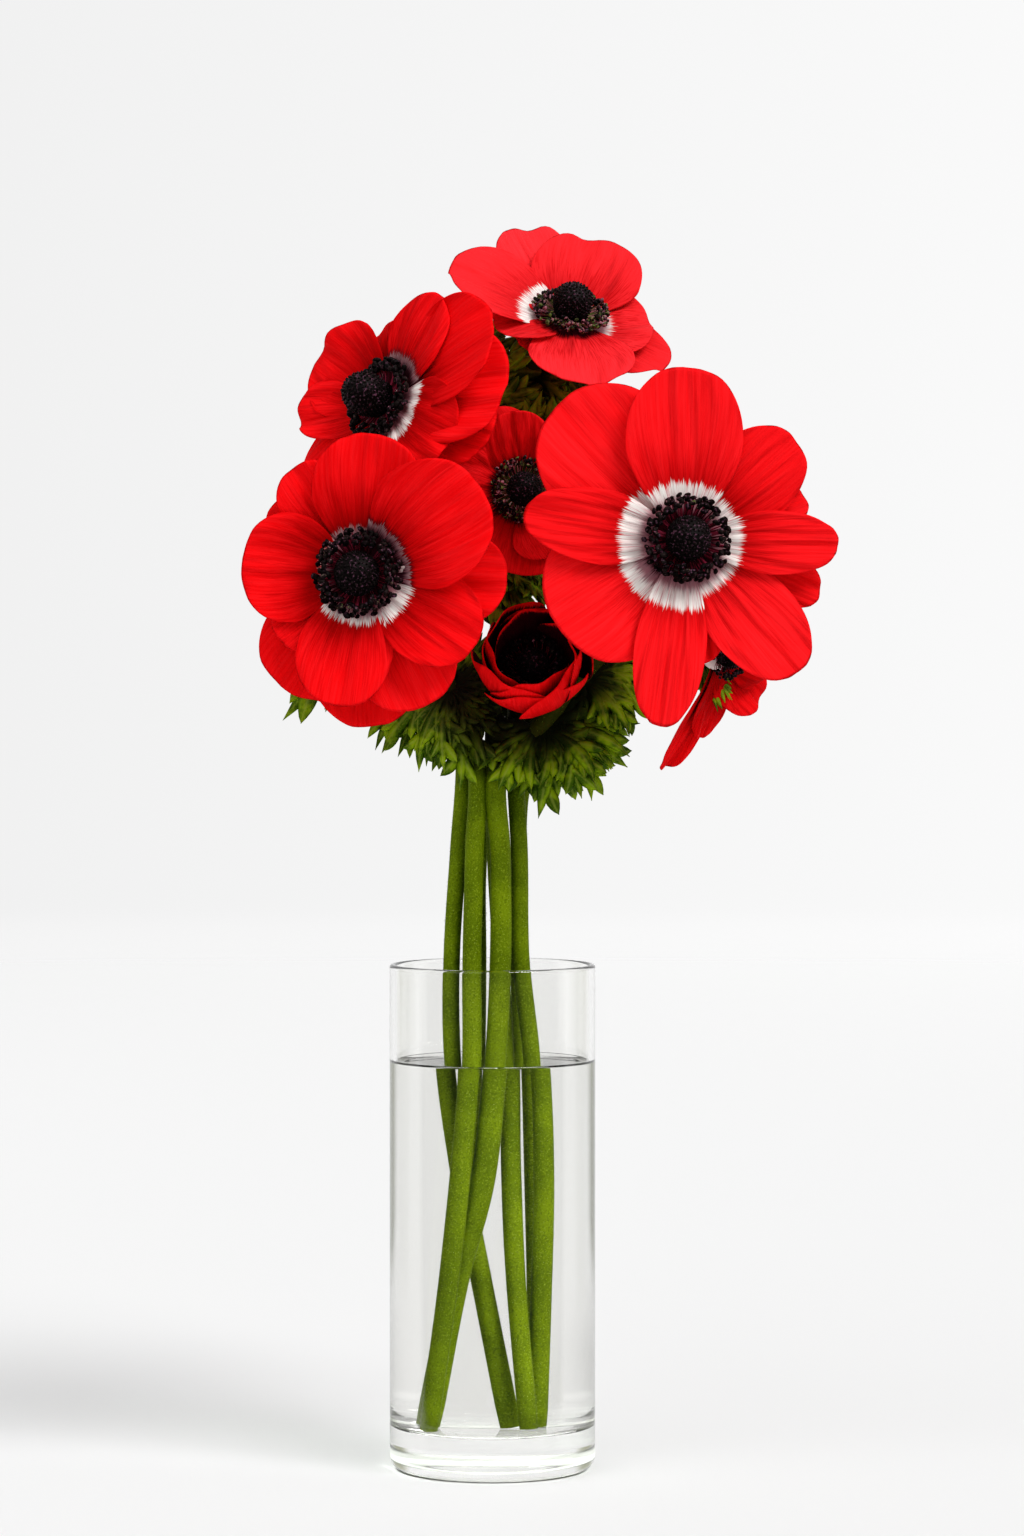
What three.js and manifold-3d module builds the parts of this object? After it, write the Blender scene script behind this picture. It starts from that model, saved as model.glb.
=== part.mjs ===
// A bunch of seven red anemones standing in a clear glass cylinder of water.
// Millimetres, +Z up, the origin at the middle of the vase's bottom, -Y towards the viewer.
import * as THREE from "three";
import Module from "manifold-3d";
import { mergeVertices } from "three/addons/utils/BufferGeometryUtils.js";

// Vase and water
const VASE_RADIUS = 38.2;
const VASE_HEIGHT = 187.5;
const WALL = 2.4;
const BASE = 16; // solid glass under the water
const BOTTOM_ROUND = 5;
const FLOOR_ROUND = 4; // where the floor inside turns up into the wall
const WATER_TOP = 151;
const ROUND_STEPS = 32;
const GAP = 0.3; // left between pieces that rest on each other
const GROW = 0.35; // how far a crossing neighbour is cut back
const PLUG = 7; // height of the plug that opens a stem's hole through the water's bottom

// Petals
const CLAW_RADIUS = 4.5; // the petals start this far from the flower's axis
const CLAW_WIDTH = 0.24; // share of the full width at the claw
const PETAL_THICK = 0.7;
const ROUND_END = 0.42; // share of a petal's length that its round end takes
const PETAL_ROWS = 3; // steps along a petal
const PETAL_COLS = 4; // steps across it
const RECEPTACLE = [[0, -2.4], [5, -2.4], [6.6, -1], [6.6, 2.2], [5.6, 2.6], [0, 2.6]];

// Black centres
const CENTRE_SEAT = 2.9; // height of the centre's underside over the petals' claws
const DOME = [[0, 0], [6.2, 0], [7.1, 2.6], [8.5, 7.4], [7.4, 11.6], [4.2, 14.2], [0, 15.2]];
const STAMEN_TOP = 6.4;
const STAMEN_REACH = 15.4;
const FILAMENT = 0.45;
const ANTHER = 1.35;
const ANTHER_AT = 0.84; // share of the stamen's length where it is widest

// Stems and the cut leaves under each flower
const STEM_SIDES = 6;
const STRAIGHT = 5; // the path's first stretches, up to above the rim, take one step each, the rest two
const STEM_SEAT = 2.75; // the stem ends this far under the petals' claws
const LEAF_THICK = 0.8;
const LOBES = 4;

// Each petal row: turn round the axis, length, width, slope at the claw and at the tip (degrees), cup
// across (degrees) and lift along the axis. A curled petal adds its turn about its own midline
// (degrees), and one with a blunter or longer end the share of its length that the round end takes.
// A flower stands at its point, turned by its yaw and pitched up (degrees). Its size scales the black
// centre: dome is the seed head's height setting (7 is the plain one), rise lifts the whole centre off
// the claws, crown scales how far the stamens' tips stand up, and stamens is their number.
// A stem's path runs from the vase's floor to behind its flower. A leaf grows from a point of it.
const FLOWERS = [
  {
    name: "right",
    at: [69, -52, 343.5],
    yaw: 8,
    pitch: 3,
    size: 1,
    dome: 7,
    stamens: 16,
    rise: 0,
    crown: 1,
    petals: [
      [91, 57.5, 43, 11, 7, 9, 2],
      [132, 62, 52, 2, 0, 8, -1],
      [172, 56, 27, 13, 6, 8, 2, 0, 0.5],
      [-146, 51.5, 52, 4, 1, 6, 0.4],
      [-99, 64, 26, 11, 3, 8, 2],
      [-80, 40.5, 18, 2, 0, 6, -1],
      [-49, 58.5, 33, 6, 3, 7, 0.6],
      [-21, 49.5, 22, 0, -4, 6, -1],
      [-2, 51, 23, 11, 7, 8, 2],
      [18, 43.5, 20, 0, -2, 6, -1],
      [42, 50, 33, 6, 3, 6, 0.6],
    ],
    stem: { radius: 3.9, path: [
      [-19, -4, 0],
      [-11, -12, 72],
      [-3, -17, 110],
      [1, -17, 152],
      [3, -16, 190],
      [3, -15, 228],
      [2, -14, 258],
      [9, -11, 266],
      [18, -6, 276],
      [32, -3, 293],
      [48, -7, 314],
      [65.5, -28.5, 342.5],
    ] },
    bracts: [
      { root: 8, tip: [18, -18, 243], bulge: [2, -8, 4], width: 1, seed: 5 },
      { root: 8, tip: [40, -12, 255], bulge: [8, -5, 4], width: 1, seed: 6 },
      { root: 8, tip: [-1, -24, 253], bulge: [-2, -7, 2], width: 0.8, seed: 7 },
      { root: 9, tip: [48, -14, 270], bulge: [6, -4, 6], width: 0.9, seed: 8 },
      { root: 9, tip: [57, -12, 287], bulge: [4, 0, 6], width: 0.8, seed: 9 },
      { root: 8, tip: [30, -22, 249], bulge: [6, -6, 4], width: 0.9, seed: 24 },
    ],
  },
  {
    name: "lower_left",
    at: [-47, -48, 331.5],
    yaw: -8,
    pitch: 0,
    size: 1,
    dome: 7,
    stamens: 16,
    rise: 0,
    crown: 1,
    petals: [
      [83, 47, 41, 26, 4, 14, 0.9],
      [33, 53.5, 47, 38, 6, 22, 2],
      [-2, 50, 36, 14, 4, 12, -0.2],
      [-30, 47, 35, 18, 10, 14, 2],
      [-62, 49, 40, 8, 2, 8, -0.6],
      [-100, 44.5, 35, 16, 8, 12, 2],
      [-124, 46, 40, 4, -6, 8, -0.2],
      [-141, 33.5, 25, 12, 6, 10, 1],
      [175, 38.5, 40, 16, 6, 14, 2],
      [121, 41, 30, 14, 4, 12, 0.2],
      [143, 36.5, 30, 6, -4, 8, -1.2],
      [-88, 51, 40, 2, -6, 8, -1.6],
    ],
    stem: { radius: 3.5, path: [
      [-21.5, -20, 0],
      [-14.5, -21, 72],
      [-10.5, -21, 112],
      [-7.5, -19, 152],
      [-7.5, -17, 190],
      [-6.5, -16, 230],
      [-6, -13, 262],
      [-16, -10, 290],
      [-34, -11, 316],
      [-43, -22.5, 331.5],
    ] },
    bracts: [
      { root: 7, tip: [-29, -28, 257], bulge: [-5, -8, 8], width: 0.8, seed: 1 },
      { root: 7, tip: [-44, -22, 270], bulge: [-4, -5, 12], width: 0.75, seed: 2 },
      { root: 8, tip: [-70, -24, 278], bulge: [-4, 0, 10], width: 0.8, seed: 3 },
      { root: 7, tip: [-11, -24, 255], bulge: [2, -5, 2], width: 0.75, seed: 4 },
      { root: 7, tip: [-19, -30, 261], bulge: [-2, -8, 4], width: 0.7, seed: 22 },
      { root: 7, tip: [-4, -8, 303], bulge: [2, 0, 4], width: 0.8, seed: 31 },
      { root: 7, tip: [1, -20, 284], bulge: [4, -6, 2], width: 0.8, seed: 32 },
      { root: 7, tip: [-8, -28, 272], bulge: [0, -6, 2], width: 0.8, seed: 33 },
    ],
  },
  {
    name: "upper_left",
    at: [-37.5, -8, 394.5],
    yaw: -50,
    pitch: 16,
    size: 1,
    dome: 9,
    stamens: 14,
    rise: 0,
    crown: 0.5,
    petals: [
      [-174, 39, 25, 16, 12, 10, 1.4],
      [153, 40.5, 38, 16, 4, 12, 2],
      [113, 29, 42, 8, -4, 10, -0.6, 0, 0.34],
      [65, 40, 32, 10, -6, 10, 1.6, 0, 0.5],
      [33, 52, 42, 8, -12, 10, 0.8, 0, 0.4],
      [12, 50.5, 46, 2, -26, 10, 0.2],
      [-9, 44.5, 36, -4, -32, 8, -0.8],
      [-21, 36.5, 36, 16, -26, 10, 2, 0, 0.36],
      [-139, 49.5, 34, 6, -6, 10, -0.4],
      [-58, 28.5, 34, 4, -4, 8, -1.4],
    ],
    stem: { radius: 3.1, path: [
      [5, -1, 0],
      [-3, -4, 70],
      [-10, -8, 115],
      [-14.5, -11, 152],
      [-15, -10, 190],
      [-12.5, -8, 230],
      [-10.5, -3, 262],
      [-12, 4, 300],
      [-17, 9, 350],
      [-18.5, 8, 387.5],
    ] },
    bracts: [
      { root: 9, tip: [13, 8, 414], bulge: [0, 0, 4], width: 0.8, seed: 13 },
      { root: 9, tip: [15, 4, 392], bulge: [0, 0, 4], width: 0.8, seed: 14 },
    ],
  },
  {
    name: "top",
    at: [28.5, 8, 425],
    yaw: 14,
    pitch: 54,
    size: 0.92,
    dome: 7,
    stamens: 14,
    rise: 0,
    crown: 0.55,
    petals: [
      [152, 44.5, 42, 24, 8, 10, 2],
      [97, 53, 34, 18, 2, 8, -0.2],
      [66, 43, 42, 26, 8, 10, 1.2, 0, 0.5],
      [4, 26.5, 50, 12, 0, 8, 0.2, 0, 0.75],
      [-92, 35.5, 40, 4, -12, 8, 2],
      [-36, 36, 38, 2, -8, 6, -0.8, 0, 0.7],
      [-136, 21, 24, 4, -16, 8, 0.6],
      [-168, 25.5, 30, 10, -10, 20, 2.2],
    ],
    stem: { radius: 3.2, path: [
      [12, 1, 0],
      [14, -4, 60],
      [15.5, -8, 112],
      [14.5, -10, 152],
      [10.5, -9, 190],
      [10, -7, 228],
      [8.5, 0, 262],
      [10, 9, 320],
      [10, 16, 370],
      [13, 20, 404.5],
      [17.5, 18, 413.5],
      [26.5, 15, 415],
    ] },
    bracts: [
      { root: 9, tip: [37, 8, 401], bulge: [0, 0, 6], width: 0.9, seed: 10 },
      { root: 9, tip: [22, 10, 384], bulge: [4, 0, 2], width: 0.9, seed: 12 },
    ],
  },
  {
    name: "middle",
    at: [10, -16, 362],
    yaw: 12,
    pitch: 5,
    size: 0.78,
    dome: 7,
    stamens: 12,
    rise: 0,
    crown: 0.8,
    petals: [
      [98, 25.5, 26, 30, 14, 14, 2],
      [127, 28, 36, 20, 6, 12, 0.4],
      [166, 25.5, 34, 26, 12, 12, 1.8],
      [-104, 27, 42, 18, 6, 10, 0.6],
      [-50, 22.5, 34, 26, 10, 12, 1.8],
      [25, 23, 34, 18, 6, 12, 0.2],
    ],
    stem: { radius: 3, path: [
      [11, -10, 0],
      [7, -9, 72],
      [5.5, -7, 112],
      [5, -6, 152],
      [3, -4.5, 190],
      [1, -4, 228],
      [0, -3, 262],
      [2, 3, 310],
      [4, 8, 340],
      [5, 7.5, 360],
    ] },
    bracts: [
      { root: 9, tip: [25, 2, 395], bulge: [0, 0, 2], width: 0.8, seed: 18 },
      { root: 8, tip: [12, -6, 326], bulge: [0, -4, 0], width: 0.8, seed: 25 },
      { root: 8, tip: [17, -2, 322], bulge: [4, -2, 2], width: 0.8, seed: 34 },
      { root: 8, tip: [0, -4, 312], bulge: [-2, 0, 2], width: 0.8, seed: 35 },
    ],
  },
  {
    name: "cup",
    at: [15.5, -12, 293],
    yaw: -3,
    pitch: 25,
    size: 0.76,
    dome: 7,
    stamens: 8,
    rise: 5,
    crown: 1,
    petals: [
      [100, 34, 37, 48, 106, 60, 1, 12],
      [-170, 34, 37, 48, 106, 60, 1, 12],
      [-80, 34, 37, 48, 106, 60, 1, 12],
      [10, 34, 37, 48, 106, 60, 1, 12],
      [55, 36, 47, 34, 110, 60, -0.4, 6],
      [145, 36, 47, 34, 110, 60, -0.4, 6],
      [-125, 36, 47, 34, 110, 60, -0.4, 6],
      [-35, 36, 47, 34, 110, 60, -0.4, 6],
      [-78, 34, 46, 29, 104, 58, -1.5],
    ],
    stem: { radius: 2.8, path: [
      [-17, 9, 0],
      [-10, 7, 72],
      [-6.5, 5, 120],
      [-5.5, 3.5, 152],
      [-5, 1, 190],
      [-5, 1.5, 222],
      [-2, 5, 250],
      [8, 9, 268],
      [17, 8, 283.5],
      [16.5, -1, 288],
    ] },
    bracts: [
      { root: 9, tip: [37, 8, 296], bulge: [2, 0, 4], width: 0.8, seed: 5 },
      { root: 9, tip: [3, 8, 296], bulge: [-2, 0, 4], width: 0.8, seed: 6 },
    ],
  },
  {
    name: "back_right",
    at: [83, 0, 303],
    yaw: 48,
    pitch: -10,
    size: 0.6,
    dome: 7,
    stamens: 8,
    rise: 0,
    crown: 1,
    petals: [
      [-5, 20, 24, 20, 10, 10, 1.4],
      [-38, 28.5, 25, 12, 2, 10, -0.2, 0, 0.75],
      [-85, 30, 16, -8, -20, 16, 1.6],
      [-96, 45.5, 14, -12, -30, 24, 0.4],
      [161, 12, 24, 14, 6, 10, 0.8],
      [49, 12, 24, 16, 6, 10, 0],
    ],
    stem: { radius: 2.4, path: [
      [11, 13, 0],
      [11, 10, 72],
      [10.5, 7, 120],
      [10, 4.5, 152],
      [9, 3.5, 190],
      [10, 2.5, 228],
      [12.5, 5, 256],
      [26, 15, 282],
      [50, 19, 302],
      [67, 14.5, 307],
      [74.5, 8, 305],
    ] },
    bracts: [
      { root: 10, tip: [95, 12, 289], bulge: [2, 4, 2], width: 0.7, seed: 15 },
      { root: 10, tip: [85, 2, 281], bulge: [0, 0, 2], width: 0.5, seed: 16 },
    ],
  },
];

const wasm = await Module();
wasm.setup();
const rad = THREE.MathUtils.degToRad;

// A closed geometry as a solid, its doubled vertices merged.
const solid = (geometry) => {
  const bare = new THREE.BufferGeometry();
  bare.setAttribute("position", geometry.getAttribute("position"));
  if (geometry.index) bare.setIndex(geometry.index);
  const merged = mergeVertices(bare, 1e-4);
  return new wasm.Manifold(
    new wasm.Mesh({
      numProp: 3,
      vertProperties: merged.attributes.position.array,
      triVerts: new Uint32Array(merged.index.array),
    }),
  );
};

const fuse = (solids) => solids.reduce((a, b) => a.add(b));

// The biggest body of a solid, for when a cut leaves a crumb or crossing petals shut in a small void.
const largest = (made) => {
  const bodies = made.decompose();
  return bodies.reduce((a, b) => (b.volume() > a.volume() ? b : a));
};

// A solid as a named mesh.
const node = (name, made, material) => {
  const mesh = made.getMesh();
  const geometry = new THREE.BufferGeometry();
  geometry.setAttribute("position", new THREE.BufferAttribute(mesh.vertProperties, 3));
  geometry.setIndex(new THREE.BufferAttribute(mesh.triVerts, 1));
  const out = new THREE.Mesh(geometry, material);
  out.name = name;
  return out;
};

// A flower's own frame: right, up and out of its face.
const frameOf = (flower) => {
  const y = rad(flower.yaw);
  const p = rad(flower.pitch);
  const n = new THREE.Vector3(Math.sin(y) * Math.cos(p), -Math.cos(y) * Math.cos(p), Math.sin(p));
  const u = new THREE.Vector3(0, 0, 1).addScaledVector(n, -n.z).normalize();
  const r = new THREE.Vector3().crossVectors(u, n);
  return { r, u, n, at: new THREE.Vector3(...flower.at) };
};

const placed = (geometry, frame) =>
  geometry.applyMatrix4(
    new THREE.Matrix4().makeBasis(frame.r, frame.u, frame.n).setPosition(frame.at),
  );

// A profile of [radius, height] turned round the Z axis.
const turned = (profile, steps) =>
  new THREE.LatheGeometry(profile.map(([x, y]) => new THREE.Vector2(x, y)), steps).rotateX(Math.PI / 2);

// The slope of a petal's midline: flat at the claw, then from e0 to e1.
const slopeAt = (x, e0, e1) => {
  const m = Math.min(1, x / 0.3);
  return m * m * (3 - 2 * m) * (e0 + (e1 - e0) * x);
};

// The midline's radius and height at 49 places along the petal.
const midline = (L, e0, e1) => {
  const out = [[0, 0]];
  for (let i = 1; i <= 48; i++) {
    const a = slopeAt((i - 1) / 48, e0, e1);
    const b = slopeAt(i / 48, e0, e1);
    const [x, z] = out[i - 1];
    out.push([
      x + (((Math.cos(a) + Math.cos(b)) / 2) * L) / 48,
      z + (((Math.sin(a) + Math.sin(b)) / 2) * L) / 48,
    ]);
  }
  return out;
};

// A point of a petal's middle surface, x along it (0 to 1) and v across it (-1 to 1).
const petalSheet = (frame, row, phase) => {
  const [turn, L, W, e0, e1, cup, lift, roll = 0] = row;
  const a = rad(turn);
  const out = frame.r.clone().multiplyScalar(Math.cos(a)).addScaledVector(frame.u, Math.sin(a));
  const side = frame.r.clone().multiplyScalar(-Math.sin(a)).addScaledVector(frame.u, Math.cos(a));
  const line = midline(L, rad(e0), rad(e1));
  return (x, v) => {
    const f = Math.min(Math.max(x, 0) * 48, 47.999);
    const i = Math.floor(f);
    const rho = CLAW_RADIUS + line[i][0] + (line[i + 1][0] - line[i][0]) * (f - i);
    const zeta = lift + line[i][1] + (line[i + 1][1] - line[i][1]) * (f - i);
    const e = slopeAt(x, rad(e0), rad(e1));
    const y = (W / 2) * v;
    const psi = Math.abs(v) < 1e-4 ? 1e-4 : rad(cup) * v;
    const wave = Math.max(x, 0) ** 2.2 *
      (0.75 * Math.sin(2.6 * Math.PI * v + phase) + 0.6 * Math.sin(2.2 * Math.PI * x + phase) * v * v);
    const flat = (y * Math.sin(psi)) / psi;
    const bent = (y * (1 - Math.cos(psi))) / psi + wave;
    const q = rad(roll) * Math.min(1, Math.max(x, 0) * 2);
    const lateral = flat * Math.cos(q) - bent * Math.sin(q);
    const up = bent * Math.cos(q) + flat * Math.sin(q);
    return frame.at.clone()
      .addScaledVector(out, rho - up * Math.sin(e))
      .addScaledVector(frame.n, zeta + up * Math.cos(e))
      .addScaledVector(side, lateral);
  };
};

// A closed blade over a grid of [point, normal] pairs, both faces split alike.
const blade = (grid, half) => {
  const rows = grid.length;
  const cols = grid[0].length;
  const at = (i, j, sign) => {
    const [p, n] = grid[i][j];
    return p.clone().addScaledVector(n, sign * half);
  };
  const tris = [];
  const quad = (a, b, c, d) => tris.push(a, b, c, a, c, d);
  for (let i = 0; i < rows - 1; i++)
    for (let j = 0; j < cols - 1; j++) {
      quad(at(i, j, 1), at(i + 1, j, 1), at(i + 1, j + 1, 1), at(i, j + 1, 1));
      tris.push(at(i, j, -1), at(i + 1, j + 1, -1), at(i + 1, j, -1));
      tris.push(at(i, j, -1), at(i, j + 1, -1), at(i + 1, j + 1, -1));
    }
  const wall = (i, j, k, l) => quad(at(i, j, 1), at(i, j, -1), at(k, l, -1), at(k, l, 1));
  for (let i = 0; i < rows - 1; i++) {
    wall(i, 0, i + 1, 0);
    wall(i + 1, cols - 1, i, cols - 1);
  }
  for (let j = 0; j < cols - 1; j++) {
    wall(rows - 1, j, rows - 1, j + 1);
    wall(0, j + 1, 0, j);
  }
  return solid(new THREE.BufferGeometry().setFromPoints(tris));
};

// One petal: narrow at the claw, then broad, with a round end and waves that grow towards it.
const petal = (frame, row, phase, grow) => {
  const wide = [...row];
  wide[1] += grow;
  wide[2] += 2 * grow;
  const sheet = petalSheet(frame, wide, phase);
  const normalAt = (x, v) => {
    const h = 0.01;
    const dx = sheet(x + h, v).sub(sheet(x - h, v));
    const dv = sheet(x, v + h).sub(sheet(x, v - h));
    return dx.cross(dv).normalize();
  };
  const [, , , , , , , , roundEnd = ROUND_END] = row;
  const grid = [];
  for (let i = 0; i <= PETAL_ROWS; i++) {
    const s = i / PETAL_ROWS;
    const broad = CLAW_WIDTH + (1 - CLAW_WIDTH) * Math.sin((Math.PI / 2) * Math.min(1, s * 1.08)) ** 1.05;
    const line = [];
    for (let j = 0; j <= PETAL_COLS; j++) {
      const t = Math.sin(Math.PI * (j / PETAL_COLS - 0.5));
      const end = 1 - roundEnd * (1 - Math.sqrt(Math.max(0, 1 - Math.abs(t) ** 2.3)));
      line.push([sheet(s * end, t * broad), normalAt(Math.max(0.01, s * end), t * broad)]);
    }
    grid.push(line);
  }
  return blade(grid, PETAL_THICK / 2 + grow);
};

// A flower's petals, joined at the receptacle behind them.
const petalsOf = (flower, index, grow = 0) => {
  const frame = frameOf(flower);
  const seat = solid(placed(turned(RECEPTACLE, 8), frame));
  const blades = flower.petals.map((row, j) => petal(frame, row, 2.4 * (3 * index + 1.3 * j), grow));
  return fuse([seat, ...blades]);
};

// One stamen: a three-sided filament that widens into its anther and ends in a point.
const stamen = (turn, reach, height, size) => {
  const root = new THREE.Vector3(4.2 * size, 0, 1.6);
  const tip = new THREE.Vector3(reach, 0, height);
  const dir = tip.clone().sub(root).normalize();
  const side = new THREE.Vector3(0, 1, 0);
  const up = new THREE.Vector3().crossVectors(dir, side);
  const ring = (share, r) =>
    [0, 1, 2].map((k) => {
      const a = (k * 2 * Math.PI) / 3 + Math.PI / 2;
      const middle = root.clone().lerp(tip, share);
      return middle.addScaledVector(side, r * Math.cos(a)).addScaledVector(up, r * Math.sin(a));
    });
  const low = ring(0, FILAMENT);
  const wide = ring(ANTHER_AT, ANTHER);
  const tris = [low[0], low[2], low[1]];
  for (let k = 0; k < 3; k++) {
    const l = (k + 1) % 3;
    tris.push(low[k], low[l], wide[l], low[k], wide[l], wide[k], wide[k], wide[l], tip);
  }
  const geometry = new THREE.BufferGeometry().setFromPoints(tris);
  return geometry.rotateZ(turn);
};

// The seed head and two staggered rings of stamens round it.
const centreOf = (flower, index) => {
  const frame = frameOf(flower);
  const k = flower.size;
  frame.at.addScaledVector(frame.n, CENTRE_SEAT);
  const rise = flower.rise;
  const stretch = 1 + (flower.dome - 7) / 9;
  const profile = DOME.map(([x, z]) => [x * k, z === 0 ? 0 : rise + z * k * stretch]);
  const parts = [solid(placed(turned(profile, 9), frame))];
  for (let i = 0; i < flower.stamens; i++) {
    const outer = i % 2;
    const reach = k * (STAMEN_REACH - (outer ? 0 : 3.4));
    const height = rise + k * flower.crown * (STAMEN_TOP + (outer ? 0 : 1.6));
    const turn = (i / flower.stamens) * 2 * Math.PI + 0.12 * Math.sin(5 * i + index);
    parts.push(solid(placed(stamen(turn, reach, height, k), frame)));
  }
  return fuse(parts);
};

// The foot's cut face leans with the stem, so its middle is raised until its low edge clears the floor.
const footOf = (flower) => {
  const [[x, y], [x2, y2, z2]] = flower.stem.path;
  const lean = Math.hypot(x2 - x, y2 - y) / (z2 - BASE);
  return new THREE.Vector3(x, y, BASE + GAP + flower.stem.radius * lean);
};

// A round stem along its path, from the vase's floor to the back of its flower.
const stemOf = (flower, grow = 0) => {
  const frame = frameOf(flower);
  const points = [
    footOf(flower),
    ...flower.stem.path.slice(1).map((p) => new THREE.Vector3(...p)),
    frame.at.clone().addScaledVector(frame.n, -STEM_SEAT),
  ];
  const r = flower.stem.radius + grow;
  const section = new THREE.Shape();
  for (let i = 0; i < STEM_SIDES; i++) {
    const a = (i / STEM_SIDES) * 2 * Math.PI;
    if (i) section.lineTo(r * Math.cos(a), r * Math.sin(a));
    else section.moveTo(r, 0);
  }
  const stretches = points.length - 1;
  const steps = 2 * stretches - STRAIGHT;
  const curve = new THREE.CatmullRomCurve3(points, false, "centripetal");
  const shareAt = (u) => {
    const step = u * steps;
    return (step < STRAIGHT ? step : (step + STRAIGHT) / 2) / stretches;
  };
  const extrudePath = new THREE.CatmullRomCurve3(points, false, "centripetal");
  extrudePath.getPointAt = (u) => curve.getPoint(shareAt(u));
  extrudePath.getTangentAt = (u) => curve.getTangent(shareAt(u));
  return solid(new THREE.ExtrudeGeometry(section, { steps, bevelEnabled: false, extrudePath }));
};

// The hole that a stem stands in: the grown stem, and a plug that opens it through the water's bottom.
const holeOf = (flower) => {
  const { x, y, z } = footOf(flower);
  const r = flower.stem.radius + 2 * GAP;
  const plug = new THREE.CylinderGeometry(r, r, PLUG, 10).rotateX(Math.PI / 2).translate(x, y, z);
  return stemOf(flower, GAP).add(solid(plug));
};

// The cut outline of a leaf, a fan of toothed lobes as [along, across], one long.
const leafOutline = (seed) => {
  const out = [[0, 0.05], [0, -0.05]];
  const put = (angle, r) => {
    const a = angle * 0.62 * (1.45 - 0.45 * r);
    out.push([r * Math.cos(a), r * Math.sin(a)]);
  };
  for (let i = 0; i < LOBES; i++) {
    const c = ((i + 0.5) / LOBES) * 2 - 1;
    const long = (1 - 0.42 * Math.abs(c) ** 1.5) * (0.9 + 0.1 * Math.sin(seed * 2.1 + i * 2.6));
    [[-0.9, 0.58], [0, 1], [0.5, 0.76]].forEach(([f, k]) =>
      put((c + f / LOBES) * 1.15, k * long),
    );
  }
  put(1.15, 0.3);
  return out;
};

// A leaf of one thickness over its outline, bent along a curve from its root to its tip.
const leaf = (flower, { root, tip, bulge, width, seed }, grow = 0) => {
  const a = new THREE.Vector3(...flower.stem.path[root]);
  const b = new THREE.Vector3(...tip);
  const c = a.clone().add(b).multiplyScalar(0.5).add(new THREE.Vector3(...bulge));
  const curve = new THREE.QuadraticBezierCurve3(a, c, b);
  const size = a.distanceTo(b) * 1.05 * width;
  const half = LEAF_THICK / 2 + grow;
  const outline = leafOutline(seed).map(([x, y]) => new THREE.Vector2(x, y));
  const faces = THREE.ShapeUtils.triangulateShape(outline, []);
  const at = ({ x, y }, sign) => {
    const u = Math.min(1, Math.max(0, x));
    const along = curve.getTangent(u);
    const side = along.clone().cross(new THREE.Vector3(0, -1, 0.25)).normalize();
    const out = along.clone().cross(side);
    return curve.getPoint(u)
      .addScaledVector(side, y * size)
      .addScaledVector(out, sign * half + 0.3 * size * y * y);
  };
  const tris = [];
  faces.forEach(([i, j, k]) => {
    tris.push(at(outline[i], 1), at(outline[j], 1), at(outline[k], 1));
    tris.push(at(outline[i], -1), at(outline[k], -1), at(outline[j], -1));
  });
  outline.forEach((p, i) => {
    const q = outline[(i + 1) % outline.length];
    tris.push(at(p, 1), at(p, -1), at(q, -1), at(p, 1), at(q, -1), at(q, 1));
  });
  return solid(new THREE.BufferGeometry().setFromPoints(tris));
};

// The cut leaves that grow from a flower's stem.
const leavesOf = (flower, grow = 0) => flower.bracts.map((row) => leaf(flower, row, grow));

// Cuts a solid back from each grown neighbour that it meets.
const clearOf = (made, neighbours) =>
  neighbours.reduce((left, grown) => {
    const common = left.intersect(grown).volume();
    return common > 1e-4 ? largest(left.subtract(grown)) : left;
  }, made);

// Points of an arc round (x, z), its angles in degrees.
const arc = (x, z, r, from, to, steps) => {
  const out = [];
  for (let i = 0; i <= steps; i++) {
    const a = rad(from + ((to - from) * i) / steps);
    out.push([x + r * Math.cos(a), z + r * Math.sin(a)]);
  }
  return out;
};

// Up the outside, over the rim, down the inside to the thick floor.
const vaseProfile = () => {
  const inside = VASE_RADIUS - WALL;
  const rim = WALL / 2;
  return [
    [0, 0],
    ...arc(VASE_RADIUS - BOTTOM_ROUND, BOTTOM_ROUND, BOTTOM_ROUND, -90, 0, 3),
    ...arc(VASE_RADIUS - rim, VASE_HEIGHT - rim, rim, 0, 180, 3),
    ...arc(inside - FLOOR_ROUND, BASE + FLOOR_ROUND, FLOOR_ROUND, 0, -90, 2),
    [0, BASE],
  ];
};

// The water, a gap inside the glass.
const waterProfile = () => {
  const r = VASE_RADIUS - WALL - GAP;
  return [
    [0, BASE + GAP],
    ...arc(r - FLOOR_ROUND, BASE + GAP + FLOOR_ROUND, FLOOR_ROUND, -90, 0, 2),
    [r, WATER_TOP],
    [0, WATER_TOP],
  ];
};

const PETAL = new THREE.MeshStandardMaterial({ color: 0xd4101c, roughness: 0.6, metalness: 0 });
const BLACK = new THREE.MeshStandardMaterial({ color: 0x170c14, roughness: 0.8, metalness: 0 });
const GREEN = new THREE.MeshStandardMaterial({ color: 0x587010, roughness: 0.6, metalness: 0 });
const GLASS = new THREE.MeshStandardMaterial({ color: 0xe8efec, roughness: 0.03, metalness: 0 });
const WATER = new THREE.MeshStandardMaterial({ color: 0xf2f6f4, roughness: 0.02, metalness: 0 });
GLASS.transparent = WATER.transparent = true;
GLASS.opacity = 0.3;
WATER.opacity = 0.2;

const group = new THREE.Group();
group.add(node("vase", solid(turned(vaseProfile(), ROUND_STEPS)), GLASS));

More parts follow.
